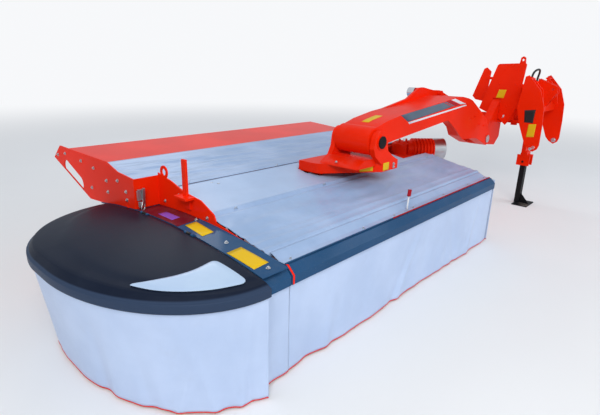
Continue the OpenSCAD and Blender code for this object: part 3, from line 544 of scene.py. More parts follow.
# %% [markdown]
# Hanging and stretched cloth starts as a flat grid. A cloth simulation could fold it, but it takes long and
# its result is hard to steer. Here a function moves each vertex to its place from its two shares, u across
# and v down, and a Solidify modifier gives the cloth its thickness. Folds are sums of soft ridges, with a
# little noise so that no two repeat.

# %% Cloth helpers
HEM_CORD_R = 3.5


def part_way(low, high, share):
    return low + (high - low) * share


def bell(value, centre, width):
    """A soft ridge: 1 at its centre, fading out at about twice its width."""
    return math.exp(-((value - centre) / width) ** 2)


def grain(x, y, seed):
    """Smooth noise between about -1 and 1."""
    return noise.noise(Vector((x, y, seed)))


def cloth_sheet(name, across, down, place, body, material, thickness=2.4):
    """A sheet of so many cells across and down, whose points come from place(u, v)."""
    mesh = bmesh.new()
    bmesh.ops.create_grid(mesh, x_segments=across, y_segments=down, size=0.5)
    for vertex in mesh.verts:
        u = min(1.0, max(0.0, vertex.co.x + 0.5))
        v = min(1.0, max(0.0, 0.5 - vertex.co.y))
        vertex.co = place(u, v)
    piece = finished(name, mesh, body, material, recalculate=False)
    wall = piece.modifiers.new("cloth thickness", "SOLIDIFY")
    wall.thickness = thickness / 1000
    wall.offset = 0
    return piece


def tube(name, points, radius, body, material, sides=10):
    """A round cord along points: a circle carried from station to station and bridged."""
    mesh = bmesh.new()
    rings = []
    for index, point in enumerate(points):
        ahead = points[min(index + 1, len(points) - 1)] - points[max(index - 1, 0)]
        turn = ahead.to_track_quat("Z", "Y").to_matrix().to_4x4()
        made = bmesh.ops.create_circle(mesh, cap_ends=index in (0, len(points) - 1), segments=sides,
                                       radius=radius / 1000, matrix=Matrix.Translation(point) @ turn)
        rings.append(made["verts"])
    for pair in zip(rings, rings[1:]):
        edges = [edge for edge in mesh.edges if any(all(v in circle for v in edge.verts) for circle in pair)]
        bmesh.ops.bridge_loops(mesh, edges=edges)
    return finished(name, mesh, body, material)


def hem_cord(name, place, steps, body):
    """The red cord sewn into a curtain's hem."""
    return tube(name, [place(k / steps, 1.0) for k in range(steps + 1)], HEM_CORD_R, body, red_cord, 8)


print("cloth helpers ready")

# %% [markdown]
# ## Front curtain
# One long pale sheet hangs behind the bumper's face to just above the ground. It is stiff, so it shows broad
# shallow waves that grow towards the hem, and a red cord sewn into that hem. The waves are noise. The few
# sharp creases of the photograph are ridges, each with its own place along x and its own slant.

# %% Front curtain
HEM = 12
CURTAIN_LEFT = -2842
CURTAIN_RIGHT = -172
CURTAIN_TOP = 556
CURTAIN_Y = -17


def front_curtain_place(u, v):
    x = part_way(CURTAIN_RIGHT, CURTAIN_LEFT, u)
    z = part_way(CURTAIN_TOP, HEM, v)
    wave = 12 * grain(x / 330, 0.4 * v, 1.0) + 7 * grain(x / 120, 0.8 * v, 4.0)
    crease = 11 * bell(x + 0.35 * z, -2390, 36) - 9 * bell(x - 0.3 * z, -2150, 45)
    crease += 12 * bell(x + 0.2 * z, -470, 44) - 10 * bell(x - 0.5 * z, -330, 50)
    crease += 10 * bell(x + 0.6 * z, -1250, 34) - 8 * bell(x + 0.6 * z, -1180, 40)
    return at(x, CURTAIN_Y + (wave + crease) * v ** 0.8, z - 4 * grain(x / 260, 0, 7.0) * v)


front_sheet = cloth_sheet("front_curtain_sheet", 240, 36, front_curtain_place, "front_guard", curtain_cloth)
front_hem = hem_cord("front_curtain_hem", front_curtain_place, 120, "front_guard")
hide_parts("front_curtain")
print("front curtain hangs from", CURTAIN_TOP, "to", HEM, "mm")

# %% [markdown]
# ## Outer curtain
# Under the moulded cover the curtain follows the cover's D-shaped rim at its top and drifts inward towards
# its hem, where two soft corners and a few long creases show how the flat cloth was bent round. The rim is
# two quarter ellipses. The curtain reuses it with a growing inset, so cover and curtain can't part.

# %% Outer curtain
COVER_X = 36
COVER_MID_Y = (-930, -800)
COVER_FRONT_RUN = 870
COVER_REAR_RUN = 655
COVER_REACH = 650
OUTER_TOP = 580
OUTER_INSET = 13
OUTER_LEAN = 78
RIM_LENGTH = 2600


def rim(share, inset):
    """A point on the cover's outline, from its front corner at 0 round to its rear corner at 1."""
    reach = COVER_REACH - inset
    if share < 0.5:
        angle = math.radians(90 * share / 0.5)
        return (COVER_X + reach * math.sin(angle),
                COVER_MID_Y[1] + (COVER_FRONT_RUN - inset) * math.cos(angle))
    angle = math.radians(90 * (share - 0.5) / 0.5)
    return (COVER_X + reach * math.cos(angle),
            COVER_MID_Y[0] - (COVER_REAR_RUN - inset) * math.sin(angle))


def outer_curtain_place(u, v):
    z = part_way(OUTER_TOP, HEM, v)
    lean = OUTER_LEAN * v * math.sin(math.pi * min(1.0, u * 1.02)) ** 0.5
    run = u * RIM_LENGTH
    wave = 10 * grain(run / 300, 0.5 * v, 11.0) + 5 * grain(run / 110, v, 15.0)
    wave += 13 * bell(run + 0.35 * z, 560, 38) - 12 * bell(run - 0.2 * z, 700, 50)
    wave += 12 * bell(run - 0.4 * z, 330, 42) - 11 * bell(run, 1010, 50)
    wave += 10 * bell(run + 0.15 * z, 190, 26) - 9 * bell(run - 0.3 * z, 95, 30)
    # The front corner, where nothing leans, hangs straight
    depth = wave * v ** 0.9 if lean else 0
    x, y = rim(u, OUTER_INSET + lean - depth)
    return at(max(x, COVER_X + 5), y, z - 5 * grain(run / 240, 0, 19.0) * v)


outer_sheet = cloth_sheet("outer_curtain_sheet", 260, 36, outer_curtain_place, "cover", curtain_cloth)
outer_hem = hem_cord("outer_curtain_hem", outer_curtain_place, 120, "cover")
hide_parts("outer_curtain")
print("outer curtain reaches", round(max(rim(k / 50, OUTER_INSET)[0] for k in range(51))), "mm out")

# %% [markdown]
# ## Front cloth
# Three sheets close the top. The front one is stretched over a soft roll behind the bumper and rises to a
# double fold. Roll and slope are one grid: its first rows go round the roll and the rest climb the slope, so
# that no seam shows between them.

# %% Front cloth
CLOTH_OUT = -145
CLOTH_IN = -2849
# y and z of the lines that carry the cloth
FRONT_LOW = (-226, 656)
FRONT_FOLD = (-640, 734)
ROLL_SHARE = 0.12
ROLL_Y = -190
ROLL_Z = 628
ROLL_R = 27.5


def front_cloth_place(u, v):
    x = part_way(CLOTH_OUT, CLOTH_IN, u)
    if v < ROLL_SHARE:
        angle = math.radians(-70 + 195 * v / ROLL_SHARE)
        bulge = ROLL_R + 1.5 * grain(x / 200, 0, 23.0)
        return at(x, ROLL_Y + bulge * math.cos(angle), ROLL_Z + bulge * math.sin(angle))
    share = (v - ROLL_SHARE) / (1 - ROLL_SHARE)
    y = part_way(-206, -650, share)
    z = FRONT_LOW[1] + (FRONT_FOLD[1] - FRONT_LOW[1]) * (y - FRONT_LOW[0]) / (FRONT_FOLD[0] - FRONT_LOW[0])
    edge = math.sin(math.pi * min(1.0, share * 1.02))
    z += edge * (9 * grain(x / 420 + y / 300, y / 120, 27.0) + 6 * grain(x / 120 - y / 90, y / 70, 29.0) - 3)
    z += edge * 4 * (bell(y + 0.06 * x, -330, 16) - bell(y + 0.06 * x, -365, 18))
    z += 8 * bell(y, -640, 9) - 7 * bell(y, -610, 11) + 4 * bell(y, -585, 10) + 5 * bell(y, -250, 12)
    return at(x, y, z)


front_cloth = cloth_sheet("front_canvas_sheet", 220, 60, front_cloth_place, "mower", canvas_cloth)
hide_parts("front_canvas")
print("front cloth climbs to", FRONT_FOLD[1], "mm")

# %% [markdown]
# ## Middle cloth
# The middle sheet is tight and light. The bracket's foot and the gearbox stand up through it. A boolean cut
# would leave ragged edges in such a thin sheet, so the cells under them are taken out whole.

# %% Middle cloth
MID_FRONT = (-640, 730)
MID_REAR = (-1060, 802)
GEAR_GAP = (-2420, -722)
BRACKET_GAP = (-1800, -970)
# The foot is in two steps: how far out, and how far forward
BRACKET_STEPS = ((-1230, -865), (-1290, -788))


def open_gap(piece, test):
    """Removes the cloth's faces where test says that something stands through it."""
    mesh = bmesh.new()
    mesh.from_mesh(piece.data)
    gone = [f for f in mesh.faces if test((f.calc_center_median() - SHIFT) * 1000)]
    bmesh.ops.delete(mesh, geom=gone, context="FACES")
    mesh.to_mesh(piece.data)
    mesh.free()


def mid_cloth_place(u, v):
    x = part_way(CLOTH_OUT, CLOTH_IN, u)
    y = part_way(MID_FRONT[0], MID_REAR[0], v)
    z = part_way(MID_FRONT[1], MID_REAR[1], v)
    edge = math.sin(math.pi * v)
    z += edge * (3 * grain(x / 500, y / 160, 31.0) - 5) + 4 * bell(y, -668, 12) * (1 - 0.4 * u)
    return at(x, y, z)


mid_cloth = cloth_sheet("mid_canvas_sheet", 216, 36, mid_cloth_place, "mower", panel_cloth)
open_gap(mid_cloth, lambda p: p.x < GEAR_GAP[0] and p.y < GEAR_GAP[1])
for out_x, near_y in BRACKET_STEPS:
    open_gap(mid_cloth, lambda p: BRACKET_GAP[0] < p.x < out_x and BRACKET_GAP[1] < p.y < near_y)
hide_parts("mid_canvas")
print("middle cloth has", len(mid_cloth.data.polygons), "cells")

# %% [markdown]
# ## Rear cloth
# The rear sheet carries long slanting wrinkles that run out from its hooks. Noise that is stretched along the
# slant gives them: it changes slowly along the wrinkles and fast across them.

# %% Rear cloth
HOOD_EDGE = (-1720, 872)
SHEET_OUT = 18
STRIP_REAR_Y = -1162


def rear_cloth_place(u, v):
    x = part_way(SHEET_OUT, CLOTH_IN, u)
    y = part_way(MID_REAR[0], HOOD_EDGE[0], v)
    z = part_way(MID_REAR[1], HOOD_EDGE[1], v)
    edge = math.sin(math.pi * v) ** 0.8
    slant = x / 620 + y / 300
    folds = 18 * grain(slant, y / 95, 37.0) + 11 * grain(slant * 2.2, y / 44, 41.0)
    z += edge * (folds - 11) + 5 * bell(y, -1060, 10) - 5 * bell(y, -1088, 13)
    return at(x, y, z)


rear_cloth = cloth_sheet("rear_canvas_sheet", 230, 64, rear_cloth_place, "mower", canvas_cloth)
open_gap(rear_cloth, lambda p: p.x > CLOTH_OUT and p.y > STRIP_REAR_Y)
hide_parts("rear_canvas")
print("rear cloth meets the hood at", HOOD_EDGE[1], "mm")

# %% [markdown]
# ## Flap on the bumper
# A narrow flap lies on the bumper and covers the gap to the front cloth. It swings up with the guard, so it
# is a sheet of its own on the guard's body.

# %% Flap on the bumper
FLAP_IN_X = -2838
FLAP_Z = 613
# From its front edge over the bend to its rear edge
FLAP_Y = (-60, -100, -160)
FLAP_RISE = 30


def flap_place(u, v):
    x = part_way(BUMPER_OUT_X - 4, FLAP_IN_X, u)
    y = part_way(FLAP_Y[0], FLAP_Y[2], v)
    rise = FLAP_RISE * max(0.0, (FLAP_Y[1] - y) / (FLAP_Y[1] - FLAP_Y[2]))
    return at(x, y, FLAP_Z + rise + 1.5 * grain(x / 150, 0, 43.0) * v)


flap = cloth_sheet("front_flap_sheet", 160, 12, flap_place, "front_guard", canvas_cloth)
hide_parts("front_flap")
print("flap lies on the bumper")

# %% [markdown]
# ## End curtains
# A short curtain closes the inner end, and a narrow one hangs under the corner block beside the cover. They
# are made like the front curtain, and the narrow one has one soft fold at its free corner.

# %% End curtains
INNER_X = -2868
INNER_TOP = 594
CORNER_Y = -16
CORNER_TOP = 530


def inner_end_place(u, v):
    y = part_way(-12, -560, u)
    z = part_way(INNER_TOP, HEM, v)
    return at(INNER_X - (6 * grain(y / 160, 0.5 * v, 47.0) + 3) * v ** 0.8, y, z)


def corner_place(u, v):
    x = part_way(22, -168, u)
    z = part_way(CORNER_TOP, HEM, v)
    return at(x, CORNER_Y + (7 * grain(x / 90, 0.6 * v, 53.0) + 5 * bell(x + 0.2 * z, 0, 40)) * v, z)


inner_sheet = cloth_sheet("inner_end_curtain", 60, 30, inner_end_place, "mower", curtain_cloth)
inner_hem = hem_cord("inner_end_hem", inner_end_place, 30, "mower")
corner_sheet = cloth_sheet("corner_curtain", 24, 30, corner_place, "mower", curtain_cloth)
corner_hem = hem_cord("corner_curtain_hem", corner_place, 16, "mower")
end_curtains = ((inner_sheet, inner_hem, (0.55, 0.582)), (corner_sheet, corner_hem, (0.19, 0.52)))
for end_sheet, end_hem, flat in end_curtains:
    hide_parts("end_curtains")
print(len(end_curtains), "end curtains hung")

# %% [markdown]
# ## Moulded cover
# The cover is one shell: a top that belongs to a very large ball, a faint raised middle, a sloping shoulder
# and an upright lip. It could be cut from primitives, but then each change of slope shows as an edge. Here
# each row of one grid is a station from the hinge line out to the lip's lower edge, and the shell stays
# smooth.

# %% Profile of the moulded cover
ARCH_Y = -790
ARCH_TOP = 694
ARCH_R = 4770
LIP_TOP = 608
RAISED = 4.5
TOP_ROWS = 26
LIP_PROFILE = [
    # inset from the rim, share of the shoulder's height, extra height, all lengths in mm
    (38, 1.0, 0.0), (34, 0.96, 0.0), (30, 0.86, 0.0), (12, 0.14, 0.0), (8, 0.03, 0.0), (5, 0.0, 0.0),
    (2, 0.0, -1.0), (0.5, 0.0, -3.5), (0, 0.0, -8.0), (0, 0.0, -40.0), (1.2, 0.0, -45.5),
]
COVER_ROWS = TOP_ROWS + len(LIP_PROFILE) - 1
# share along the rim, width of the plain border in mm
BORDER = [(0.0, 60), (0.35, 62), (0.5, 95), (0.62, 150), (0.8, 110), (1.0, 60)]


def dome_z(x, y):
    return ARCH_TOP - ARCH_R + math.sqrt(ARCH_R ** 2 - (y - ARCH_Y) ** 2 - (x - COVER_X) ** 2)


def table_at(rows, share):
    for (first, low), (second, high) in zip(rows, rows[1:]):
        if share <= second:
            return low + (high - low) * (share - first) / (second - first)
    return rows[-1][1]


def smooth_step(low, high, value):
    share = min(1.0, max(0.0, (value - low) / (high - low)))
    return share * share * (3 - 2 * share)


def cover_place(u, v):
    row = round(v * COVER_ROWS)
    inset, share, extra = LIP_PROFILE[max(0, row - TOP_ROWS)]
    x, y = rim(u, inset)
    edge_z = dome_z(x, y)
    if row > TOP_ROWS:
        return at(max(x, COVER_X), y, LIP_TOP + (edge_z - LIP_TOP) * share + extra)
    x_here = COVER_X + (x - COVER_X) * row / TOP_ROWS
    border = table_at(BORDER, u)
    across = (x - x_here) * (x - COVER_X) / COVER_REACH
    raised = RAISED * smooth_step(border - 22, border + 22, across) * smooth_step(0, 26, x_here - COVER_X)
    return at(x_here, y, dome_z(x_here, y) + raised)


print("cover profile in", COVER_ROWS, "rows, crown at", round(dome_z(COVER_X, ARCH_Y)), "mm")

# %% [markdown]
# The grid's rows fall together where the rim meets the hinge line. Left so, these doubled points would show
# as pinched shading, so they are merged before the wall gets its thickness, and the faces are turned outward.

# %% Moulded cover


def weld_outward(piece):
    """Joins points that fell together at the corners, and turns every face to the outside."""
    mesh = bmesh.new()
    mesh.from_mesh(piece.data)
    bmesh.ops.remove_doubles(mesh, verts=mesh.verts, dist=0.0002)
    bmesh.ops.recalc_face_normals(mesh, faces=mesh.faces)
    if sum(face.normal.z * face.calc_area() for face in mesh.faces) < 0:
        bmesh.ops.reverse_faces(mesh, faces=mesh.faces)
    mesh.to_mesh(piece.data)
    mesh.free()


cover = cloth_sheet("moulded_cover", 220, COVER_ROWS, cover_place, "cover", cover_plastic, 5)
cover.modifiers["cloth thickness"].offset = -1
cover.modifiers["cloth thickness"].name = "moulded wall"
weld_outward(cover)
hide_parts("outer_cover")
print("cover moulded,", len(cover.data.polygons), "cells")

# %% [markdown]
# The cover turns on two short hinge knuckles, each a barrel with a small leaf. The barrels lie along y, which
# is the line that the cover's joint turns about.

# %% Hinge knuckles
HINGE_Y = (-1020, -560)
knuckles = bmesh.new()
lying = Matrix.Rotation(math.radians(90), 4, "X")
for y in HINGE_Y:
    bmesh.ops.create_cone(knuckles, cap_ends=True, segments=28, radius1=0.009, radius2=0.009, depth=0.040,
                          matrix=Matrix.Translation(at(38, y, 690)) @ lying)
    bmesh.ops.create_cube(knuckles, size=1, matrix=Matrix.Translation(at(46, y, 686))
                          @ Matrix.Diagonal((0.018, 0.036, 0.005, 1)))
knuckle_piece = soft_edges(finished("cover_knuckles", knuckles, "cover", black_paint), 1)
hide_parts("outer_cover")
print(len(HINGE_Y), "hinge knuckles")

# %% [markdown]
# A light panel is set into the cover's front. Its outline is a soft closed curve through points that were
# read off the photograph. Shrinking copies of this curve are laid on the dome and bridged, so the panel
# bends with the cover; a flat plate would dip into it.

# %% Light panel
PANEL_OUTLINE = [
    # x and y in mm, round the light panel from its pointed end
    (500, -306), (478, -262), (451, -217), (415, -173), (371, -131), (322, -94), (265, -60), (205, -35),
    (148, -17), (124, -15), (108, -24), (102, -42), (101, -95), (103, -150), (107, -205), (112, -224),
    (122, -235), (138, -239), (192, -232), (240, -229), (290, -235), (340, -247), (396, -268), (450, -292),
    (488, -311), (497, -312),
]
PANEL_MIDDLE = Vector((235, -150))
# share of the outline's size, height over the raised middle in mm
PANEL_RINGS = ((1.0, -1.0), (1.0, 2.0), (0.985, 2.8), (0.75, 2.9), (0.5, 2.9), (0.25, 2.9), (0.06, 2.9))


def ring(mesh, points, capped):
    """One closed loop of edges through the points, ready to be bridged to the next."""
    made = bmesh.ops.create_circle(mesh, cap_ends=capped, segments=len(points), radius=1)
    for vertex, point in zip(made["verts"], points):
        vertex.co = point
    return list({edge for vertex in made["verts"] for edge in vertex.link_edges})


def skin(mesh, loops):
    """Closes the first and the last loop and bridges each to the next."""
    ends = (0, len(loops) - 1)
    edges = [ring(mesh, points, k in ends) for k, points in enumerate(loops)]
    for near, far in zip(edges, edges[1:]):
        bmesh.ops.bridge_loops(mesh, edges=near + far)


def spline(a, b, c, d, t):
    """A point between b and c on a soft curve through four points."""
    return 0.5 * (2 * b + (c - a) * t + (2 * a - 5 * b + 4 * c - d) * t * t
                  + (3 * b - a - 3 * c + d) * t ** 3)


def rounded_path(points, steps=4):
    """A closed curve through the points, with steps between each two."""
    path = []
    for k in range(len(points)):
        four = [Vector(points[(k + shift) % len(points)]) for shift in (-1, 0, 1, 2)]
        path += [spline(*four, step / steps) for step in range(steps)]
    return path


outline = rounded_path(PANEL_OUTLINE)
panel_loops = []
for share, lift in PANEL_RINGS:
    flat_points = [PANEL_MIDDLE + (point - PANEL_MIDDLE) * share for point in outline]
    panel_loops.append([at(q.x, q.y, dome_z(q.x, q.y) + RAISED + lift) for q in flat_points])
panel_mesh = bmesh.new()
skin(panel_mesh, panel_loops)
insert_panel = finished("light_insert", panel_mesh, "cover", panel_plastic)
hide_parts("cover_insert")
print(len(outline), "points round the light panel")

# %% [markdown]
# ## Stickers and stripes
# Every sign on the real machine becomes a blank patch of the same colour. It could be painted into the
# material, but a sticker has a thin edge of its own that catches light. So a patch is a small grid stretched
# between four corners and lifted just off the surface that it sticks to.

# %% Stickers on the mower
LIFT = 1.0
BRACKET_FOOT_Y = -404


def patches(name, corner_sets, body, material, surface=None, cells=6):
    """Thin films, each between four corners in mm, at their own height or laid on a surface."""
    mesh = bmesh.new()
    for corners in corner_sets:
        made = bmesh.ops.create_grid(mesh, x_segments=cells, y_segments=cells, size=0.5)
        for vertex in made["verts"]:
            u = vertex.co.x + 0.5
            v = 0.5 - vertex.co.y
            top = [part_way(a, b, u) for a, b in zip(corners[0], corners[1])]
            low = [part_way(a, b, u) for a, b in zip(corners[3], corners[2])]
            x, y, z = (part_way(a, b, v) for a, b in zip(top, low))
            vertex.co = at(x, y, surface(x, y) + LIFT if surface else z)
    piece = finished(name, mesh, body, material, recalculate=False)
    film = piece.modifiers.new("film thickness", "SOLIDIFY")
    film.thickness = 0.0007
    film.offset = 0


def laid(*corners):
    """Corners of x and y; the surface gives their height."""
    return [(x, y, 0) for x, y in corners]


def upright(x, *corners):
    """Corners of y and z on a face that looks outward at x."""
    return [(x + LIFT, y, z) for y, z in corners]


def facing(y, *corners):
    """Corners of x and z on a face that looks forward at y."""
    return [(x, y + LIFT, z) for x, z in corners]


def arch_z(x, y):
    """Height of the arched end strip, the same at every x."""
    return dome_z(COVER_X, y)


patches("strip_yellow_signs", [laid((-15, -679), (-96, -688), (-78, -502), (2, -493)),
                               laid((20, -269), (-79, -277), (-90, -83), (12, -74))],
        "mower", yellow_film, arch_z)
patches("strip_purple_sign", [laid((-12, -959), (-71, -960), (-68, -809), (-8, -800))], "mower",
        purple_film, arch_z)
# The maroon patch on the strip's rear part is a painted reflection of the red side plate.
patches("strip_painted_reflection", [laid((26, -1140), (-136, -1140), (-136, -716), (26, -690))], "mower",
        red_reflection_paint, lambda x, y: arch_z(x, y) - 0.5, 14)
patches("bracket_signs", [[(-1448, -531, 869), (-1512, -456, 868), (-1512, -456, 808), (-1448, -531, 800)],
                          facing(BRACKET_FOOT_Y, (-1568, 868), (-1650, 868), (-1650, 810), (-1568, 808))],
        "mower", yellow_film)
print("signs on the mower are blank patches")

# %% [markdown]
# The arm carries a band of stripes on its front face and a sign on its top, which is curved. The height of
# such a face could be guessed and tuned, but a ray cast down onto the solid finds it at once.

# %% Stickers on the arm, the turret and the headstock
LEG_FACE_X = -4017
TURRET_FACE_X = -4263
ARM_Y = -452
patches("leg_yellow_sign", [upright(LEG_FACE_X, (-137, 996), (-61, 1004), (-65, 865), (-143, 858))],
        "headstock", yellow_film)
patches("leg_black_sign", [upright(LEG_FACE_X, (-203, 1140), (-92, 1154), (-98, 1011), (-187, 1012))],
        "headstock", trim_plastic)
turret_sign = upright(TURRET_FACE_X, (-593, 1331), (-507, 1334), (-530, 1239), (-616, 1237))
patches("turret_yellow_sign", [turret_sign], "turret_body", yellow_film)
patches("arm_slate_band", [facing(ARM_Y, (-1843, 1200), (-2555, 1268), (-2744, 1221), (-1961, 1141)),
                           facing(ARM_Y, (-2568, 1270), (-2598, 1273), (-2801, 1225), (-2761, 1222))],
        "arm", slate_film)
patches("arm_crimson_band", [facing(ARM_Y, (-2609, 1274), (-2689, 1282), (-2900, 1232), (-2809, 1226))],
        "arm", crimson_film)
patches("arm_white_band", [facing(ARM_Y, (-2702, 1284), (-2786, 1292), (-3045, 1233), (-2913, 1236)),
                           facing(ARM_Y, (-1965, 1137), (-3040, 1227), (-3060, 1216), (-1984, 1122))],
        "arm", white_film)
arm_mesh = frame["nodes"]["arm_beam"].data
arm_tree = BVHTree.FromPolygons([v.co for v in arm_mesh.vertices],
                                [tuple(face.vertices) for face in arm_mesh.polygons])


def arm_top(x, y):
    """Height of the arm's top face in mm under a point seen from above."""
    return (arm_tree.ray_cast(at(x, y, 2000), Vector((0, 0, -1)))[0].z - SHIFT.z) * 1000


patches("arm_top_sign", [laid((-1590, -575), (-1780, -575), (-1780, -640), (-1590, -640))], "arm",
        yellow_film, arm_top, 12)
print("arm's top sign lies at", round(arm_top(-1685, -608)), "mm")

# %% [markdown]
# ## Bolts
# Bolts hold the plates, and their small highlights give the machine its scale. Each could be an object of its
# own, but they never move apart, so they are joined per body into one mesh: a washer, a six-sided head and
# the thread's end each, turned to the face's direction.

# %% Bolts
BOLT_PARTS = (
    # sides, share of the radius, from and to above the face in mm
    (24, 1.35, 0.0, 2.0), (6, 1.0, 1.8, 7.5), (20, 0.55, 7.3, 11.0),
)
UP = (0, 0, 1)
OUT = (1, 0, 0)
INWARD = (-1, 0, 0)
AHEAD = (0, 1, 0)
OUTER_PLATE_X = 28
STEP_X = -138
INNER_PLATE_X = -2858
GEAR_BOLTS_R = 62


def bolts(name, places, body, radius=9, material=zinc):
    mesh = bmesh.new()
    for place, direction in places:
        turn = Vector(direction).to_track_quat("Z", "Y").to_matrix().to_4x4()
        for sides, wide, low, high in BOLT_PARTS:
            raised = Matrix.Translation((0, 0, (low + high) / 2000))
            bmesh.ops.create_cone(mesh, cap_ends=True, segments=sides, radius1=radius * wide / 1000,
                                  radius2=radius * wide / 1000, depth=(high - low) / 1000,
                                  matrix=Matrix.Translation(at(*place)) @ turn @ raised)
    soft_edges(finished(name, mesh, body, material), 0.6, 1)


strip_bolts = [(-48, -356), (-52, -46), (-112, -712)]
outer_plate_bolts = [(-1516, 796), (-1357, 826), (-1510, 720), (-1253, 774), (-1249, 721), (-1700, 850),
                     (-1900, 868), (-2180, 880), (-2330, 850), (-1760, 700)]
step_bolts = [(-920, 790), (-1080, 720), (-640, 715), (-761, 673)]
inner_plate_bolts = [(-300, 600), (-620, 610), (-1300, 700), (-1600, 720), (-2100, 800)]
mower_bolts = [((x, y, arch_z(x, y)), UP) for x, y in strip_bolts]
mower_bolts += [((OUTER_PLATE_X, y, z), OUT) for y, z in outer_plate_bolts]
mower_bolts += [((STEP_X, y, z), OUT) for y, z in step_bolts]
mower_bolts += [((INNER_PLATE_X, y, z), INWARD) for y, z in inner_plate_bolts]
mower_bolts += [((x, BRACKET_FOOT_Y, z), AHEAD) for x, z in ((-1715, 845), (-1715, 822))]
mower_bolts += [((x, -640, 877), UP) for x in (-1745, -1300)]
bolts("mower_bolts", mower_bolts, "mower")
gear_bolts = [((-2760 + GEAR_BOLTS_R * math.cos(angle), -960 + GEAR_BOLTS_R * math.sin(angle), 848), UP)
              for angle in (1.05 * k for k in range(6))]
bolts("gearbox_bolts", gear_bolts, "mower", 6)
arm_bolts = [((x, ARM_Y, z), AHEAD) for x, z in ((-3201, 1084), (-3433, 1010), (-3560, 985), (-3300, 1100))]
bolts("arm_bolts", arm_bolts, "arm", 8, red_paint)
turret_bolts = [(-420, 1560), (-560, 1560), (-420, 1400), (-600, 1400), (-480, 1150), (-640, 1150)]
bolts("turret_bolts", [((TURRET_FACE_X, y, z), OUT) for y, z in turret_bolts], "turret_body", 8, red_paint)
print(len(mower_bolts) + len(gear_bolts), "bolts on the mower")

# %% [markdown]
# ## Strap and bolts of the front guard
# A thin red strap runs over the bumper's outer end and down its face. It is three patches along the bumper's
# own profile, bevel included, so that it lies on the sheet all the way. Small bolts hold the flap behind it.

# %% Strap and bolts of the front guard
BUMPER_BEVEL = 42
STRAP_X = (-176, -188)
STRAP_Y = 1.2
STRAP_Z = 611.4
STRAP_FOOT = 521
strap_line = [(-60, STRAP_Z), (-BUMPER_BEVEL, STRAP_Z), (STRAP_Y, STRAP_Z - BUMPER_BEVEL),
              (STRAP_Y, STRAP_FOOT)]
strap_rows = [[(STRAP_X[0], *near), (STRAP_X[1], *near), (STRAP_X[1], *far), (STRAP_X[0], *far)]
              for near, far in zip(strap_line, strap_line[1:])]
patches("guard_end_strap", strap_rows, "front_guard", red_paint)
guard_bolts = [((x, -80, 614), UP) for x in (-240, -880, -1235, -1489, -1960, -2400, -2760)]
bolts("guard_bolts", guard_bolts, "front_guard", 6)
print(len(strap_rows), "strap patches and", len(guard_bolts), "bolts on the guard")

# %% [markdown]
# ## Latch and window rim
# The cover's latch hangs at the step of the outer end plate: a keeper, a lever and a wire loop. Small blocks
# with softened edges are enough for it, because each part is a folded strip. One more block is the thin rim
# that closes the plate's oval window from below, where the solid plate leaves it open.

# %% Latch and window rim


def blocks(name, rows, body, material, edge=1.0):
    """Small blocks, each from its middle and its size in mm, with a turn about x in degrees."""
    mesh = bmesh.new()
    for place, size, turn in rows:
        matrix = (Matrix.Translation(at(*place)) @ Matrix.Rotation(math.radians(turn), 4, "X")
                  @ Matrix.Diagonal((*(v / 1000 for v in size), 1)))
        bmesh.ops.create_cube(mesh, size=1, matrix=matrix)
    soft_edges(finished(name, mesh, body, material), edge, 2)


LATCH_PARTS = [((-2, -1138, 770), (40, 14, 62), 0), ((-18, -1124, 760), (16, 12, 116), -6),
               ((8, -1120, 716), (20, 20, 34), 0), ((0, -1132, 806), (30, 20, 8), 0)]
LATCH_LOOP = [(-10, -1118, 742), (2, -1106, 728), (14, -1100, 706), (16, -1098, 690), (6, -1098, 682),
              (-8, -1104, 694), (-14, -1112, 716)]
CLIP_PARTS = [((20, -1250, 676), (22, 30, 10), 0), ((24, -1262, 682), (12, 12, 14), 0)]
blocks("cover_latch", LATCH_PARTS, "mower", zinc)
tube("latch_loop", [at(*point) for point in LATCH_LOOP], 3, "mower", zinc, 8)
blocks("cover_clip", CLIP_PARTS, "mower", red_paint)
blocks("window_rim", [((25, -2074.5, 703.8), (6, 322, 12), -19.4)], "mower", red_paint)
print(len(LATCH_PARTS), "blocks make the latch")

# %% [markdown]
# ## Rod and rails of the front guard
# A white rod with a dark red knob stands behind the bumper and holds the guard. Rod and knob are tubes along
# a bent line. Along the bumper's top runs a narrow red rail. Its inner part shows red, and on the rest it is
# painted dark as painted shade.

# %% Rod and rails of the front guard
ROD_LINE = [(-1392, -76, 612), (-1396, -78, 650), (-1412, -82, 716)]
KNOB_LINE = [(-1412, -82, 712), (-1414, -83, 720), (-1424, -86, 750), (-1426, -87, 756)]
# The dark outer part of the rail is painted shade on the red rail.
RAILS = (("guard_rail_red", -1180, -2836, crimson_film), ("guard_rail_painted_shade", -176, -1178, dark_paint))
tube("guard_rod", [at(*point) for point in ROD_LINE], 6, "front_guard", white_film, 12)
tube("guard_knob", [at(*point) for point in KNOB_LINE], 13, "front_guard", crimson_film, 16)
for name, start, end, finish in RAILS:
    blocks(name, [(((start + end) / 2, -56, 614.5), (start - end, 9, 7), 0)], "front_guard", finish, 1.5)
print(len(RAILS), "rails on the guard")

# %% [markdown]
# ## Wire hooks, split pins and eyelets
# Bent wire holds the cloths and secures the pins at the arm's knee. Every such piece is a tube along a few
# points, which gives an even thickness at each bend.

# %% Wire hooks, split pins and eyelets
WIRE_R = 2.2
HOOKS = [(-330, -620), (-1150, -622), (-1960, -620), (-2700, -622), (-300, -1062), (-1100, -1062),
         (-2250, -1062)]
HOOK_BEND = [(-9, 0, 0), (-9, 0, 9), (-5, 0, 14), (5, 0, 14), (9, 0, 9), (9, 0, 0)]
KNEE_PINS = ((-3689, 847), (-4074, 1053))
EYELETS = ((-454, -1025), (-486, -992))


def between(y, stations):
    """Height at y along straight stations of y and z."""
    for (y_near, z_near), (y_far, z_far) in zip(stations, stations[1:]):
        if y >= y_far:
            return part_way(z_near, z_far, max(0.0, (y - y_near) / (y_far - y_near)))
    return stations[-1][1]


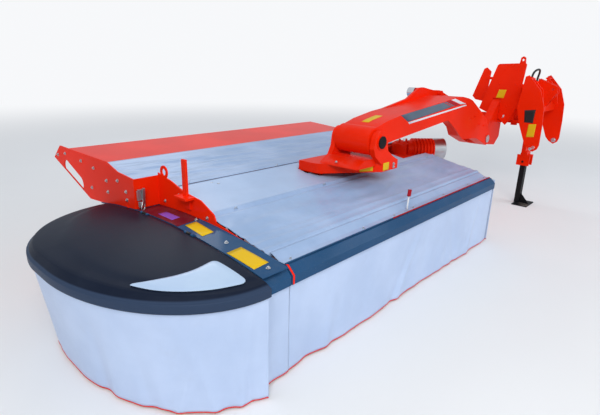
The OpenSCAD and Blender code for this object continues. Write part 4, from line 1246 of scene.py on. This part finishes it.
for number, (x, y) in enumerate(HOOKS):
    z = between(y, [FRONT_LOW, FRONT_FOLD, MID_REAR, HOOD_EDGE])
    hook_line = [at(x + a, y + b, z + c) for a, b, c in HOOK_BEND]
    tube("cloth_hook_%d" % number, hook_line, WIRE_R, "mower", zinc, 8)
for number, (x, z) in enumerate(KNEE_PINS):
    turns = [2 * math.pi * k / 18 for k in range(18)]
    loop_line = [at(x + 17 * math.cos(a), ARM_Y + 16, z + 17 * math.sin(a)) for a in turns]
    tube("knee_pin_loop_%d" % number, loop_line + loop_line[:1], WIRE_R, "arm", zinc, 8)
    pin_line = [at(x - 4, ARM_Y + 2, z - 20), at(x + 4, ARM_Y + 26, z + 14)]
    tube("knee_cross_pin_%d" % number, pin_line, 4, "arm", zinc, 10)
for number, (x, y) in enumerate(EYELETS):
    z = between(y, [MID_FRONT, MID_REAR]) - 1
    eyelet = [at(x + 9 * math.cos(k * 0.45), y + 9 * math.sin(k * 0.45), z) for k in range(15)]
    tube("cloth_eyelet_%d" % number, eyelet, 2.0, "mower", zinc, 8)
print(len(HOOKS), "hooks,", len(KNEE_PINS), "split pins and", len(EYELETS), "eyelets")

# %% [markdown]
# ## Hydraulic hose
# One free hose arches between two fittings on the headstock. A rubber hose has no corners, so its stations
# are joined by the same soft curve as the light panel's outline. It takes the CAD hose's own middle line.

# %% Hydraulic hose
HOSE_R = 11
HOSE_ROUTE = [
    # x, y and z in mm
    (-4100, -210, 1474), (-4100, -210, 1494), (-4108, -206, 1522), (-4132, -200, 1546), (-4172, -192, 1561),
    (-4216, -188, 1565), (-4258, -190, 1560), (-4298, -198, 1545), (-4328, -208, 1522), (-4344, -218, 1494),
    (-4350, -224, 1464), (-4350, -224, 1444), (-4350, -224, 1434),
]
stations = [Vector(point) for point in HOSE_ROUTE[:1] + HOSE_ROUTE + HOSE_ROUTE[-1:]]
hose_points = []
for four in zip(stations, stations[1:], stations[2:], stations[3:]):
    hose_points += [at(*spline(*four, step / 4)) for step in range(4)]
hose_points.append(at(*HOSE_ROUTE[-1]))
hose = tube("feed_hose_dressed", hose_points, HOSE_R, "headstock", hose_rubber, 14)
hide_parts("feed_hose")
